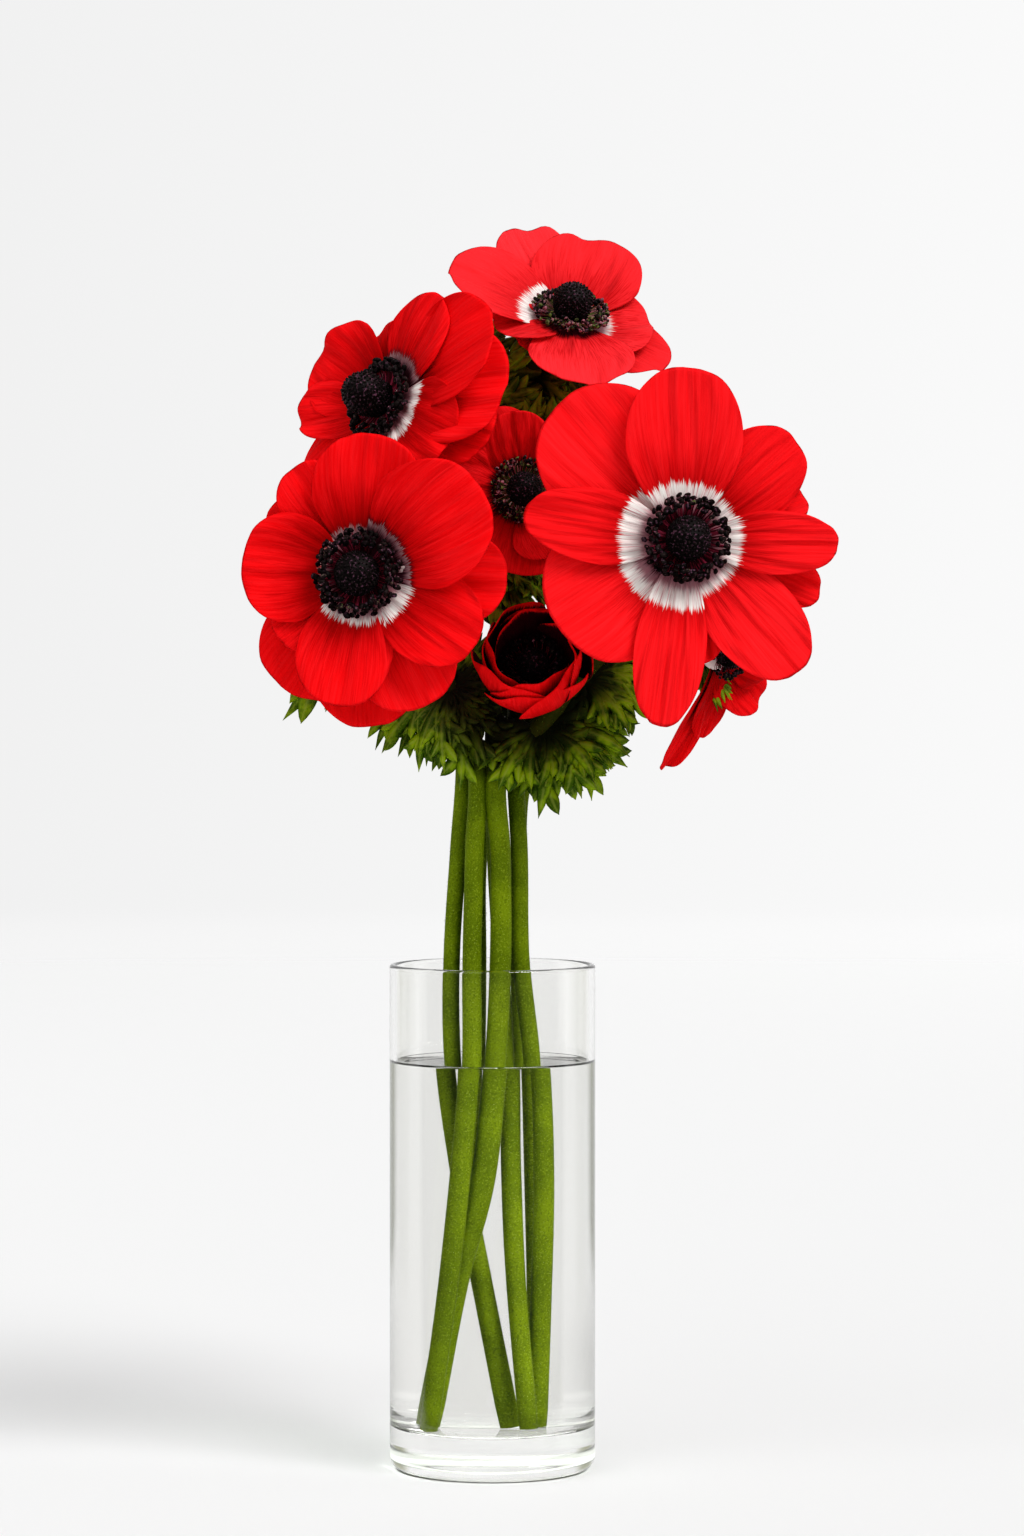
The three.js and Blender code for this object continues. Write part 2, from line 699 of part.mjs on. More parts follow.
const holes = FLOWERS.map(holeOf);
const water = holes.reduce((left, hole) => left.subtract(hole), solid(turned(waterProfile(), ROUND_STEPS)));
group.add(node("water", largest(water), WATER));

const grownPetals = FLOWERS.map((flower, i) => petalsOf(flower, i, GROW));
const grownStems = FLOWERS.map((flower) => stemOf(flower, GROW));
const grownLeaves = FLOWERS.map((flower) => leavesOf(flower, GROW));
FLOWERS.forEach((flower, i) => {
  const red = largest(clearOf(petalsOf(flower, i), grownPetals.slice(0, i)));
  const others = [
    ...grownPetals,
    ...grownStems.filter((_, j) => j !== i),
    ...grownLeaves.slice(0, i).flat(),
  ];
  const leaves = leavesOf(flower).map((made) => clearOf(made, others));
  group.add(node(flower.name + "_petals", red, PETAL));
  group.add(node(flower.name + "_centre", centreOf(flower, i), BLACK));
  group.add(node(flower.name + "_stem", largest(fuse([stemOf(flower), ...leaves])), GREEN));
});

export default group;
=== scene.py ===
# %% [markdown]
# # A vase of red anemones
#
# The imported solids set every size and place. This notebook dresses them: fine petals, seed heads with
# their stamens, cut leaves, haired stems, clear glass and water. Each new piece stands where its solid
# stands, so the solids are hidden one by one as the finer pieces take their place.

# %% Load the frame
import math

import bpy
import numpy as np
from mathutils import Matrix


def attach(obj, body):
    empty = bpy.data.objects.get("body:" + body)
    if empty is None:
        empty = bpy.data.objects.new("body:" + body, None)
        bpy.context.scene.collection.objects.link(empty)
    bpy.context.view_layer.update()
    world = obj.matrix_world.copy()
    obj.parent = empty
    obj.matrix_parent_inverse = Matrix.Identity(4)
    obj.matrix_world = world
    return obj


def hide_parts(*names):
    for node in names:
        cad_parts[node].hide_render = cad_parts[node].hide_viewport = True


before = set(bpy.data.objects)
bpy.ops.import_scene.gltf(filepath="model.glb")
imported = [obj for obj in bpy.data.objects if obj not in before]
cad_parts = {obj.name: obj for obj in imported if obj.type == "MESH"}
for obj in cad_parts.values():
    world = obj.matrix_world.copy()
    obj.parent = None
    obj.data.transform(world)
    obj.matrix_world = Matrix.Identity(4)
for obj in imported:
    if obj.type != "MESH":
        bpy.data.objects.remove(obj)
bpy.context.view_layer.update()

# %% [markdown]
# ## Camera
#
# A long lens far away flattens a bunch of flowers, as in a catalogue picture. The camera stands almost
# level with the middle of the bunch, so the rims of the vase show as narrow ellipses. The sensor width
# belongs to the long side of the picture, which is its height here.

# %% Place the camera
MM = 0.001
PICTURE_TALL = 1536
FOCAL_PIXELS = 4995
CAMERA_AT = (7.26, -1850, 307.6)
CAMERA_DOWN = 1.468

lens = bpy.data.cameras.new("camera")
lens.sensor_fit = "AUTO"
lens.sensor_width = 36
lens.lens = FOCAL_PIXELS * lens.sensor_width / PICTURE_TALL
lens.clip_start = 0.05
lens.clip_end = 60
camera = bpy.data.objects.new("camera", lens)
camera.location = [c * MM for c in CAMERA_AT]
camera.rotation_euler = (math.radians(90 - CAMERA_DOWN), 0, 0)
bpy.context.scene.collection.objects.link(camera)
bpy.context.scene.camera = camera
print("lens in mm:", round(lens.lens, 1))

# %% [markdown]
# ## The flowers in numbers
#
# A flower is placed by the middle of its face, turned by yaw and tipped up by pitch. Each petal is one
# row: its turn round the axis, length, width, slope at the claw and at the tip, cup across, lift, and
# where needed its curl and the share that its round end takes. Millimetres and degrees throughout.
# These are the same rows that the solids are made from, so a fine petal lies where its solid lies.
#
# Size scales the dark centre, dome its height (7 is plain), rise lifts it and crown raises the stamens.
# Relief is the depth of the pleats. Light brightens the whole red of a flower: painted light, which makes
# a flower look more brightly lit. Dusk and white say how far the dusky claw and the white band reach on
# each petal; the dusk is partly the claw's own dark colour and partly painted shade, inside the cup and
# beside the stamens. A leaf's row says from which point of the stem's path it grows, its tip, how far its
# middle is pushed aside, its width and its random seed.

# %% Flowers, stems and leaves
PLAIN = {"size": 1, "dome": 7, "rise": 0, "crown": 1, "fresh": 0, "relief": 1, "light": 0}
OWN = [
    {"name": "right", "at": [69, -52, 343.5], "yaw": 8, "pitch": 3, "threads": 140, "light": 0.15,
     "dusk_and_shade": [15, 16, 16.5, 20, 18, 23, 18, 15, 15, 15, 15],
     "white": [20.5, 23.5, 24.5, 25.5, 25.5, 26, 21, 12, 21, 17, 20],
     "petals": [
         [91, 57.5, 43, 11, 7, 9, 2], [132, 62, 52, 2, 0, 8, -1], [172, 56, 27, 13, 6, 8, 2, 0, 0.5],
         [-146, 51.5, 52, 4, 1, 6, 0.4], [-99, 64, 26, 11, 3, 8, 2], [-80, 40.5, 18, 2, 0, 6, -1],
         [-49, 58.5, 33, 6, 3, 7, 0.6], [-21, 49.5, 22, 0, -4, 6, -1], [-2, 51, 23, 11, 7, 8, 2],
         [18, 43.5, 20, 0, -2, 6, -1], [42, 50, 33, 6, 3, 6, 0.6],
     ],
     "radius": 3.9,
     "path": [
         [-19, -4, 0], [-11, -12, 72], [-3, -17, 110], [1, -17, 152], [3, -16, 190], [3, -15, 228],
         [2, -14, 258], [9, -11, 266], [18, -6, 276], [32, -3, 293], [48, -7, 314],
         [65.5, -28.5, 342.5],
     ],
     "leaves": [
         [8, [18, -18, 243], [2, -8, 4], 1, 5], [8, [40, -12, 255], [8, -5, 4], 1, 6],
         [8, [-1, -24, 253], [-2, -7, 2], 0.8, 7], [9, [48, -14, 270], [6, -4, 6], 0.9, 8],
         [9, [57, -12, 287], [4, 0, 6], 0.8, 9], [8, [30, -22, 249], [6, -6, 4], 0.9, 24],
     ]},
    {"name": "lower_left", "at": [-47, -48, 331.5], "yaw": -8, "pitch": 0, "threads": 140,
     "dusk_and_shade": [18, 21, 19, 15, 17, 16, 19, 17, 15, 15, 15, 15],
     "white": [17, 19, 17, 20.5, 15, 18.5, 16.5, 14, 15, 18, 19, 15],
     "petals": [
         [83, 47, 41, 26, 4, 14, 0.9], [33, 53.5, 47, 38, 6, 22, 2], [-2, 50, 36, 14, 4, 12, -0.2],
         [-30, 47, 35, 18, 10, 14, 2], [-62, 49, 40, 8, 2, 8, -0.6], [-100, 44.5, 35, 16, 8, 12, 2],
         [-124, 46, 40, 4, -6, 8, -0.2], [-141, 33.5, 25, 12, 6, 10, 1], [175, 38.5, 40, 16, 6, 14, 2],
         [121, 41, 30, 14, 4, 12, 0.2], [143, 36.5, 30, 6, -4, 8, -1.2], [-88, 51, 40, 2, -6, 8, -1.6],
     ],
     "radius": 3.5,
     "path": [
         [-21.5, -20, 0], [-14.5, -21, 72], [-10.5, -21, 112], [-7.5, -19, 152], [-7.5, -17, 190],
         [-6.5, -16, 230], [-6, -13, 262], [-16, -10, 290], [-34, -11, 316], [-43, -22.5, 331.5],
     ],
     "leaves": [
         [7, [-29, -28, 257], [-5, -8, 8], 0.8, 1], [7, [-44, -22, 270], [-4, -5, 12], 0.75, 2],
         [8, [-70, -24, 278], [-4, 0, 10], 0.8, 3], [7, [-11, -24, 255], [2, -5, 2], 0.75, 4],
         [7, [-19, -30, 261], [-2, -8, 4], 0.7, 22], [7, [-4, -8, 303], [2, 0, 4], 0.8, 31],
         [7, [1, -20, 284], [4, -6, 2], 0.8, 32], [7, [-8, -28, 272], [0, -6, 2], 0.8, 33],
     ]},
    {"name": "upper_left", "at": [-37.5, -8, 394.5], "yaw": -50, "pitch": 16, "threads": 136,
     "dome": 9, "crown": 0.5,
     "dusk_and_shade": [14, 14, 14, 20, 20, 19, 17, 15, 14, 14],
     "white": [12, 12, 12, 18, 18, 17, 15, 20, 12, 12],
     "petals": [
         [-174, 39, 25, 16, 12, 10, 1.4], [153, 40.5, 38, 16, 4, 12, 2],
         [113, 29, 42, 8, -4, 10, -0.6, 0, 0.34], [65, 40, 32, 10, -6, 10, 1.6, 0, 0.5],
         [33, 52, 42, 8, -12, 10, 0.8, 0, 0.4], [12, 50.5, 46, 2, -26, 10, 0.2],
         [-9, 44.5, 36, -4, -32, 8, -0.8], [-21, 36.5, 36, 16, -26, 10, 2, 0, 0.36],
         [-139, 49.5, 34, 6, -6, 10, -0.4], [-58, 28.5, 34, 4, -4, 8, -1.4],
     ],
     "radius": 3.1,
     "path": [
         [5, -1, 0], [-3, -4, 70], [-10, -8, 115], [-14.5, -11, 152], [-15, -10, 190], [-12.5, -8, 230],
         [-10.5, -3, 262], [-12, 4, 300], [-17, 9, 350], [-18.5, 8, 387.5],
     ],
     "leaves": [
         [9, [13, 8, 414], [0, 0, 4], 0.8, 13], [9, [15, 4, 392], [0, 0, 4], 0.8, 14],
     ]},
    {"name": "top", "at": [28.5, 8, 425], "yaw": 14, "pitch": 54, "threads": 140,
     "size": 0.92, "crown": 0.55, "fresh": 1, "light": 0.7,
     "dusk_and_shade": [14], "white": [20, 8, 14, 16, 8, 15.5, 8, 8],
     "petals": [
         [152, 44.5, 42, 24, 8, 10, 2], [97, 53, 34, 18, 2, 8, -0.2],
         [66, 43, 42, 26, 8, 10, 1.2, 0, 0.5], [4, 26.5, 50, 12, 0, 8, 0.2, 0, 0.75],
         [-92, 35.5, 40, 4, -12, 8, 2], [-36, 36, 38, 2, -8, 6, -0.8, 0, 0.7],
         [-136, 21, 24, 4, -16, 8, 0.6], [-168, 25.5, 30, 10, -10, 20, 2.2],
     ],
     "radius": 3.2,
     "path": [
         [12, 1, 0], [14, -4, 60], [15.5, -8, 112], [14.5, -10, 152], [10.5, -9, 190], [10, -7, 228],
         [8.5, 0, 262], [10, 9, 320], [10, 16, 370], [13, 20, 404.5], [17.5, 18, 413.5],
         [26.5, 15, 415],
     ],
     "leaves": [
         [9, [37, 8, 401], [0, 0, 6], 0.9, 10], [9, [22, 10, 384], [4, 0, 2], 0.9, 12],
     ]},
    {"name": "middle", "at": [10, -16, 362], "yaw": 12, "pitch": 5, "threads": 120,
     "size": 0.78, "crown": 0.8, "fresh": 1, "light": 0.25,
     "dusk_and_shade": [13], "white": [6],
     "petals": [
         [98, 25.5, 26, 30, 14, 14, 2], [127, 28, 36, 20, 6, 12, 0.4], [166, 25.5, 34, 26, 12, 12, 1.8],
         [-104, 27, 42, 18, 6, 10, 0.6], [-50, 22.5, 34, 26, 10, 12, 1.8], [25, 23, 34, 18, 6, 12, 0.2],
     ],
     "radius": 3,
     "path": [
         [11, -10, 0], [7, -9, 72], [5.5, -7, 112], [5, -6, 152], [3, -4.5, 190], [1, -4, 228],
         [0, -3, 262], [2, 3, 310], [4, 8, 340], [5, 7.5, 360],
     ],
     "leaves": [
         [9, [25, 2, 395], [0, 0, 2], 0.8, 18], [8, [12, -6, 326], [0, -4, 0], 0.8, 25],
         [8, [17, -2, 322], [4, -2, 2], 0.8, 34], [8, [0, -4, 312], [-2, 0, 2], 0.8, 35],
     ]},
    {"name": "cup", "at": [15.5, -12, 293], "yaw": -3, "pitch": 25, "threads": 90,
     "size": 0.76, "rise": 5, "relief": 0.4,
     # Painted shade: the cup's dusk paints the inside of its petals nearly black.
     "dusk_and_shade": [36], "white": [5],
     "petals": [
         *([turn, 34, 37, 48, 106, 60, 1, 12] for turn in (100, -170, -80, 10)),
         *([turn, 36, 47, 34, 110, 60, -0.4, 6] for turn in (55, 145, -125, -35)),
         [-78, 34, 46, 29, 104, 58, -1.5],
     ],
     "radius": 2.8,
     "path": [
         [-17, 9, 0], [-10, 7, 72], [-6.5, 5, 120], [-5.5, 3.5, 152], [-5, 1, 190], [-5, 1.5, 222],
         [-2, 5, 250], [8, 9, 268], [17, 8, 283.5], [16.5, -1, 288],
     ],
     "leaves": [
         [9, [37, 8, 296], [2, 0, 4], 0.8, 5], [9, [3, 8, 296], [-2, 0, 4], 0.8, 6],
     ]},
    {"name": "back_right", "at": [83, 0, 303], "yaw": 48, "pitch": -10, "threads": 80,
     "size": 0.6, "relief": 0.7,
     "dusk_and_shade": [8], "white": [5],
     "petals": [
         [-5, 20, 24, 20, 10, 10, 1.4], [-38, 28.5, 25, 12, 2, 10, -0.2, 0, 0.75],
         [-85, 30, 16, -8, -20, 16, 1.6], [-96, 45.5, 14, -12, -30, 24, 0.4],
         [161, 12, 24, 14, 6, 10, 0.8], [49, 12, 24, 16, 6, 10, 0],
     ],
     "radius": 2.4,
     "path": [
         [11, 13, 0], [11, 10, 72], [10.5, 7, 120], [10, 4.5, 152], [9, 3.5, 190], [10, 2.5, 228],
         [12.5, 5, 256], [26, 15, 282], [50, 19, 302], [67, 14.5, 307], [74.5, 8, 305],
     ],
     "leaves": [
         [10, [95, 12, 289], [2, 4, 2], 0.7, 15], [10, [85, 2, 281], [0, 0, 2], 0.5, 16],
     ]},
]
FLOWERS = [{**PLAIN, **own} for own in OWN]
print("flowers:", len(FLOWERS), "petals:", sum(len(f["petals"]) for f in FLOWERS))

# %% [markdown]
# ## From arrays to a mesh
#
# Every shape below is worked out as whole arrays: a grid of points from two parameters. Blender takes
# such arrays in one call, which is much faster than adding vertices one by one. A few helpers number the
# faces of grids, of turned shapes and of thin sheets, and join such parts into one mesh with attributes.

# %% Faces and turned shapes
AXES = np.eye(3)


def grid_faces(rows, cols, wrap=False):
    """Corner numbers of the quads of a rows by cols grid; wrap joins the last column to the first."""
    across = cols if wrap else cols - 1
    i, j = np.meshgrid(np.arange(rows - 1), np.arange(across), indexing="ij")
    k = (j + 1) % cols
    quads = np.stack([i * cols + j, (i + 1) * cols + j, (i + 1) * cols + k, i * cols + k], axis=-1)
    return quads.reshape(-1, 4)


def repeated(faces, count, points_each):
    """The faces of one shape for many copies of it: the corner numbers of each copy count on."""
    start = np.arange(count)[:, None, None] * points_each
    return (faces[None] + start).reshape(-1, faces.shape[1])


def skin_faces(rows, cols, joined_ends):
    """Faces of a thin sheet's two skins, and the corner numbers of both grids. The skins share the points
    of their side edges, and of their end edges too where these are joined."""
    front = np.arange(rows * cols).reshape(rows, cols)
    back = front + rows * cols
    back[:, [0, -1]] = front[:, [0, -1]]
    if joined_ends:
        back[[0, -1]] = front[[0, -1]]
    quads = grid_faces(rows, cols)
    return np.concatenate([front.reshape(-1)[quads], back.reshape(-1)[quads][:, ::-1]]), front, back


def around(angle, first, second):
    """Directions at these angles: the cosine of each times one axis plus its sine times the other."""
    return np.cos(angle)[..., None] * first + np.sin(angle)[..., None] * second


def circle(sides, first, second):
    """Directions at even angles of one full turn, in the plane of two axes."""
    return around(2 * np.pi * np.arange(sides) / sides, first, second)


def revolved(radius, height, sides, axes=AXES, at=0.0):
    """A closed turned surface: each radius spun round the third axis at its height along that axis."""
    points = at + radius[:, None, None] * circle(sides, axes[0], axes[1]) + height[:, None, None] * axes[2]
    return points.reshape(-1, 3), grid_faces(len(radius), sides, wrap=True)[:, ::-1]


def unit(vectors):
    """Vectors cut to length one."""
    return vectors / np.linalg.norm(vectors, axis=-1, keepdims=True)


# %% Parts and pieces
def tidied(points, faces, attributes):
    """A part without the points that none of its faces use."""
    used, numbers = np.unique(faces, return_inverse=True)
    kept = {name: np.broadcast_to(values, len(points))[used] for name, values in attributes.items()}
    return points[used], numbers.reshape(faces.shape), kept


def join(parts):
    """Several (points, faces, attributes) as one: the faces of each count on from the ones before, and an
    attribute given as one number holds for all points of its part."""
    counts = [len(points) for points, _, _ in parts]
    faces = [faces + start for (_, faces, _), start in zip(parts, np.cumsum([0] + counts))]
    values = {name: np.concatenate([np.broadcast_to(p[2][name], n) for p, n in zip(parts, counts)])
              for name in parts[0][2]}
    return np.concatenate([points for points, _, _ in parts]), faces, values


def make_piece(name, parts, material, node):
    """A mesh object in metres from parts in millimetres, which rides on the body and replaces a solid."""
    points, face_groups, attributes = join(parts)
    corners = np.concatenate([g.reshape(-1) for g in face_groups])
    sizes = np.concatenate([np.full(len(g), g.shape[1]) for g in face_groups])
    mesh = bpy.data.meshes.new(name)
    mesh.vertices.add(len(points))
    mesh.vertices.foreach_set("co", (points * MM).reshape(-1))
    mesh.loops.add(len(corners))
    mesh.loops.foreach_set("vertex_index", corners)
    mesh.polygons.add(len(sizes))
    mesh.polygons.foreach_set("loop_start", np.concatenate([[0], np.cumsum(sizes)[:-1]]))
    mesh.update(calc_edges=True)
    mesh.polygons.foreach_set("use_smooth", np.full(len(sizes), True))
    for label, values in attributes.items():
        mesh.attributes.new(label, "FLOAT", "POINT").data.foreach_set("value", values)
    mesh.materials.append(material)
    piece = bpy.data.objects.new(name, mesh)
    bpy.context.scene.collection.objects.link(piece)
    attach(piece, "root")
    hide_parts(node)
    print(name, "triangles:", int((sizes - 2).sum()))


# %% [markdown]
# ## Shader helpers
#
# All materials are node trees, and so is the surround. Short calls keep them readable: one adds a node
# and sets or links its sockets, others multiply, add, make a soft step or mix two colours. Numbers that
# are the same everywhere on a material are set on its shader's own sockets. Noise scales count per metre.

# %% Node helpers
class Tree:
    """The node tree of a material or a world, with short calls for nodes, links, steps and mixes."""

    def __init__(self, owner):
        owner.use_nodes = True
        self.nodes, self.links = owner.node_tree.nodes, owner.node_tree.links

    def put(self, node, inputs):
        for key, value in inputs.items():
            socket = node.inputs[key]
            if isinstance(value, bpy.types.NodeSocket):
                self.links.new(value, socket)
            elif socket.type == "RGBA":
                socket.default_value = (*value, 1)
            else:
                socket.default_value = value

    def add(self, kind, inputs=None, **settings):
        node = self.nodes.new(kind)
        for key, value in settings.items():
            setattr(node, key, value)
        self.put(node, inputs or {})
        return node

    def attribute(self, name):
        return self.add("ShaderNodeAttribute", attribute_name=name).outputs["Fac"]

    def place(self):
        return self.add("ShaderNodeTexCoord").outputs["Object"]

    def vector(self, x, y, z):
        return self.add("ShaderNodeCombineXYZ", {0: x, 1: y, 2: z}).outputs[0]

    def split(self, vector):
        return self.add("ShaderNodeSeparateXYZ", {0: vector}).outputs

    def vectors(self, operation, *values):
        node = self.add("ShaderNodeVectorMath", dict(enumerate(values)), operation=operation)
        return node.outputs["Value" if operation == "LENGTH" else "Vector"]

    def math(self, operation, *values):
        return self.add("ShaderNodeMath", dict(enumerate(values)), operation=operation).outputs[0]

    def times(self, a, b):
        return self.math("MULTIPLY", a, b)

    def plus(self, a, b):
        return self.math("ADD", a, b)

    def minus(self, a, b):
        return self.math("SUBTRACT", a, b)

    def step(self, value, low, high, start=0.0, end=1.0, kind="SMOOTHSTEP"):
        inputs = dict(enumerate((value, low, high, start, end)))
        return self.add("ShaderNodeMapRange", inputs, interpolation_type=kind).outputs[0]

    def mix(self, share, a, b):
        return self.add("ShaderNodeMix", {0: share, 6: a, 7: b}, data_type="RGBA").outputs[2]

    def mix_numbers(self, share, a, b):
        return self.add("ShaderNodeMix", {0: share, 2: a, 3: b}).outputs[0]

    def mix_shaders(self, share, a, b):
        return self.add("ShaderNodeMixShader", {0: share, 1: a, 2: b}).outputs[0]

    def noise(self, vector, scale, detail=2.0, rough=0.5):
        inputs = {"Vector": vector, "Scale": scale, "Detail": detail, "Roughness": rough}
        return self.add("ShaderNodeTexNoise", inputs).outputs[0]

    def bump(self, height, distance, strength, under=None):
        inputs = {"Height": height, "Distance": distance, "Strength": strength}
        if under is not None:
            inputs["Normal"] = under
        return self.add("ShaderNodeBump", inputs).outputs[0]


class Finish(Tree):
    """A material's tree: its shader gets the plain numbers at once and the worked-out sockets last."""

    def __init__(self, name, numbers):
        self.material = bpy.data.materials.new(name)
        super().__init__(self.material)
        self.shader = self.nodes["Principled BSDF"]
        self.put(self.shader, numbers)

    def surface(self, shader):
        self.put(self.nodes["Material Output"], {"Surface": shader})


# %% [markdown]
# ## Petals
#
# Anemone petals are thin, silky and finely pleated: pleats fan out from the narrow claw, and near the
# seed head most of them carry a white band with a ragged edge. A sculpted plane would do for one petal,
# but sixty of them are better written as one formula. A petal is a sheet over two parameters, s from
# claw to tip and t from side to side, given a skin on each side that meet in a thin edge.

# %% The frame and midline of a petal
CLAW_RADIUS = 4.5
CLAW_WIDTH = 0.24
ROUND_END = 0.42
PETAL_THICK = 0.42
SLOPE_STARTS = 0.3
LINE_STEPS = 48
WAVE_GROWS = 2.2
WAVE_ACROSS, WAVE_ALONG = 0.75, 0.6


def frame_of(flower):
    """Right, up and outward directions of a flower's face, from its yaw and pitch, and its middle."""
    yaw, pitch = math.radians(flower["yaw"]), math.radians(flower["pitch"])
    n = np.array([math.sin(yaw) * math.cos(pitch), -math.cos(yaw) * math.cos(pitch), math.sin(pitch)])
    u = unit(AXES[2] - n[2] * n)
    return np.cross(u, n), u, n, np.array(flower["at"], float)


def petal_row(flower, j):
    """A petal's numbers, with no curl and the usual round end where its row leaves them out."""
    row = flower["petals"][j]
    return row + [0, ROUND_END][len(row) - 7:]


def slope_at(x, start, end):
    """A petal's slope: none at the claw, easing in over its first third, then from start to end."""
    m = np.clip(x / SLOPE_STARTS, 0, 1)
    return m * m * (3 - 2 * m) * (start + (end - start) * x)


def midline(x, length, start, end):
    """Distance and height along a petal: the running sums of the slope's cosine and sine."""
    places = np.arange(LINE_STEPS + 1) / LINE_STEPS
    e = slope_at(places, start, end)
    out = np.cumsum((np.cos(e[1:]) + np.cos(e[:-1])) / 2) * length / LINE_STEPS
    up = np.cumsum((np.sin(e[1:]) + np.sin(e[:-1])) / 2) * length / LINE_STEPS
    return np.interp(x, places, np.append(0, out)), np.interp(x, places, np.append(0, up))


def petal_sheet(flower, row, phase, x, v):
    """The middle surface: the midline rises along x, the width bends up by the cup and waves near the
    tip, and the curl turns it about its midline."""
    turn, length, width, start, end, cup, lift, roll, _ = row
    r, u, n, at = frame_of(flower)
    a = math.radians(turn)
    outward = math.cos(a) * r + math.sin(a) * u
    sideways = -math.sin(a) * r + math.cos(a) * u
    start, end = math.radians(start), math.radians(end)
    distance, height = midline(x, length, start, end)
    e = slope_at(x, start, end)
    y = width / 2 * v
    psi = math.radians(cup) * np.where(np.abs(v) < 1e-4, 1e-4, v)
    across = WAVE_ACROSS * np.sin(2.6 * np.pi * v + phase)
    wave = np.clip(x, 0, 1) ** WAVE_GROWS * (across + WAVE_ALONG * np.sin(2.2 * np.pi * x + phase) * v * v)
    flat = y * np.sin(psi) / psi
    bent = y * (1 - np.cos(psi)) / psi + wave
    q = math.radians(roll) * np.clip(2 * x, 0, 1)
    lateral = flat * np.cos(q) - bent * np.sin(q)
    rise = bent * np.cos(q) + flat * np.sin(q)
    along = CLAW_RADIUS + distance - rise * np.sin(e)
    over = lift + height + rise * np.cos(e)
    return at + along[..., None] * outward + over[..., None] * n + lateral[..., None] * sideways


# %% [markdown]
# Three sets of pleats lie over one another, from wide to fine. Each row gives how many fold across the
# petal, how often the petal's own phase shifts them, how far they wander and how fast along and across,
# the phase's part in that, and their height in millimetres on a petal 50 mm long.

# %% The fine petal
PETAL_ROWS, PETAL_COLS = 42, 33
PLEATS = [
    (2.0, 1, 1.5, 2.4, 1.9, 1, 0.6),
    (5.1, 3, 1.9, 3.1, 3.7, 2, 0.17),
    (13.7, 5, 1.4, 4.3, 0.0, 3, 0.05),
]
PLEAT_START, PLEAT_FADE = 0.3, 0.7
SWELL = 1.1
TIP_CURVE = 2.3
NICKS, FINE_NICKS = 0.004, 0.001
RIPPLE, RIPPLE_FROM = 0.5, 0.6
REACH_ASIDE = 0.45


def pleats(s, t, length, phase):
    """How far the surface stands out: folds that fan out from the claw and a slow swell, both faded out
    at the claw."""
    fan = t * (0.75 + 0.25 * s)
    folds = 0.0
    for count, shift, wander, along, across, part, height in PLEATS:
        path = wander * np.sin(along * s + across * t + part * phase)
        folds = folds + height * np.sin(2 * np.pi * count * fan + shift * phase + path)
    grow = np.clip(s / PLEAT_START, 0, 1) * (1 - PLEAT_FADE * s)
    swell = np.sin(2 * np.pi * (0.9 * s + 0.16 * phase)) * np.cos(1.7 * np.pi * t + phase)
    return length / 50 * grow * folds + SWELL * s * swell


def petal_part(flower, index, j):
    """One petal: the sheet over a round-ended outline, with pleats, nicks and ripples in its edge, and a
    skin on each side that thins out towards the edge they share."""
    row = petal_row(flower, j)
    phase = 2.4 * (3 * index + 1.3 * j)
    s, turn = np.meshgrid(np.linspace(0, 1, PETAL_ROWS), np.linspace(-0.5, 0.5, PETAL_COLS), indexing="ij")
    t = np.sin(np.pi * turn)
    end = 1 - row[8] * (1 - np.sqrt(np.clip(1 - np.abs(t) ** TIP_CURVE, 0, 1)))
    nick = NICKS * np.sin(7 * t + phase) + FINE_NICKS * np.sin(19 * t + 2 * phase)
    x = s * (end + s ** 3 * nick)
    broad = CLAW_WIDTH + (1 - CLAW_WIDTH) * np.sin(np.pi / 2 * np.clip(1.08 * s, 0, 1)) ** 1.05
    v = t * broad
    sheet = petal_sheet(flower, row, phase, x, v)
    normal = np.cross(np.gradient(sheet, axis=0), np.gradient(sheet, axis=1))
    normal /= np.linalg.norm(normal, axis=-1, keepdims=True) + 1e-12
    ripple = RIPPLE * np.clip(s - RIPPLE_FROM, 0, 1) * np.sin(5 * np.pi * t + 2 * phase) * np.abs(t)
    sheet += (flower["relief"] * (pleats(s, t, row[1], phase) + ripple))[..., None] * normal
    rim = np.minimum.reduce([s * 8, (1 - s) * PETAL_ROWS / 1.2, (0.5 - np.abs(turn)) * PETAL_COLS / 1.2])
    half = (PETAL_THICK / 2 * np.clip(rim, 0, 1))[..., None] * normal
    points = np.concatenate([(sheet + half).reshape(-1, 3), (sheet - half).reshape(-1, 3)])
    reach = np.hypot(CLAW_RADIUS + x * row[1], REACH_ASIDE * row[2] * v)
    along, across, reach = (np.tile(values.reshape(-1), 2) for values in (s, t, reach))
    return tidied(points, skin_faces(PETAL_ROWS, PETAL_COLS, joined_ends=True)[0], {
        "along": along,
        "across": across,
        "reach": reach,
        "tone": (math.sin(phase * 7.3) + 1) / 2,
        "light": flower["light"],
        "white": flower["white"][j % len(flower["white"])],
        "dusk_and_shade": flower["dusk_and_shade"][j % len(flower["dusk_and_shade"])],
        "back": np.repeat([0.0, 1.0], s.size),
    })


# %% The receptacle
RECEPTACLE = np.array([
    [0.001, -2.4], [4.2, -2.4], [5.4, -2.2], [6.3, -1.4],
    [6.6, -0.4], [6.6, 1.4], [6.2, 2.3], [0.001, 2.5],
])
SEAT_SIDES = 32


def receptacle_part(flower):
    """The small pale disc that holds the petals' claws together, turned round the flower's axis."""
    *axes, at = frame_of(flower)
    points, faces = revolved(*RECEPTACLE.T, SEAT_SIDES, axes, at)
    return points, faces, {"along": 0.0, "across": 0.0, "reach": 4.0, "tone": 0.5, "light": 0.0,
                           "white": 9.0, "dusk_and_shade": 0.0, "back": 1.0}
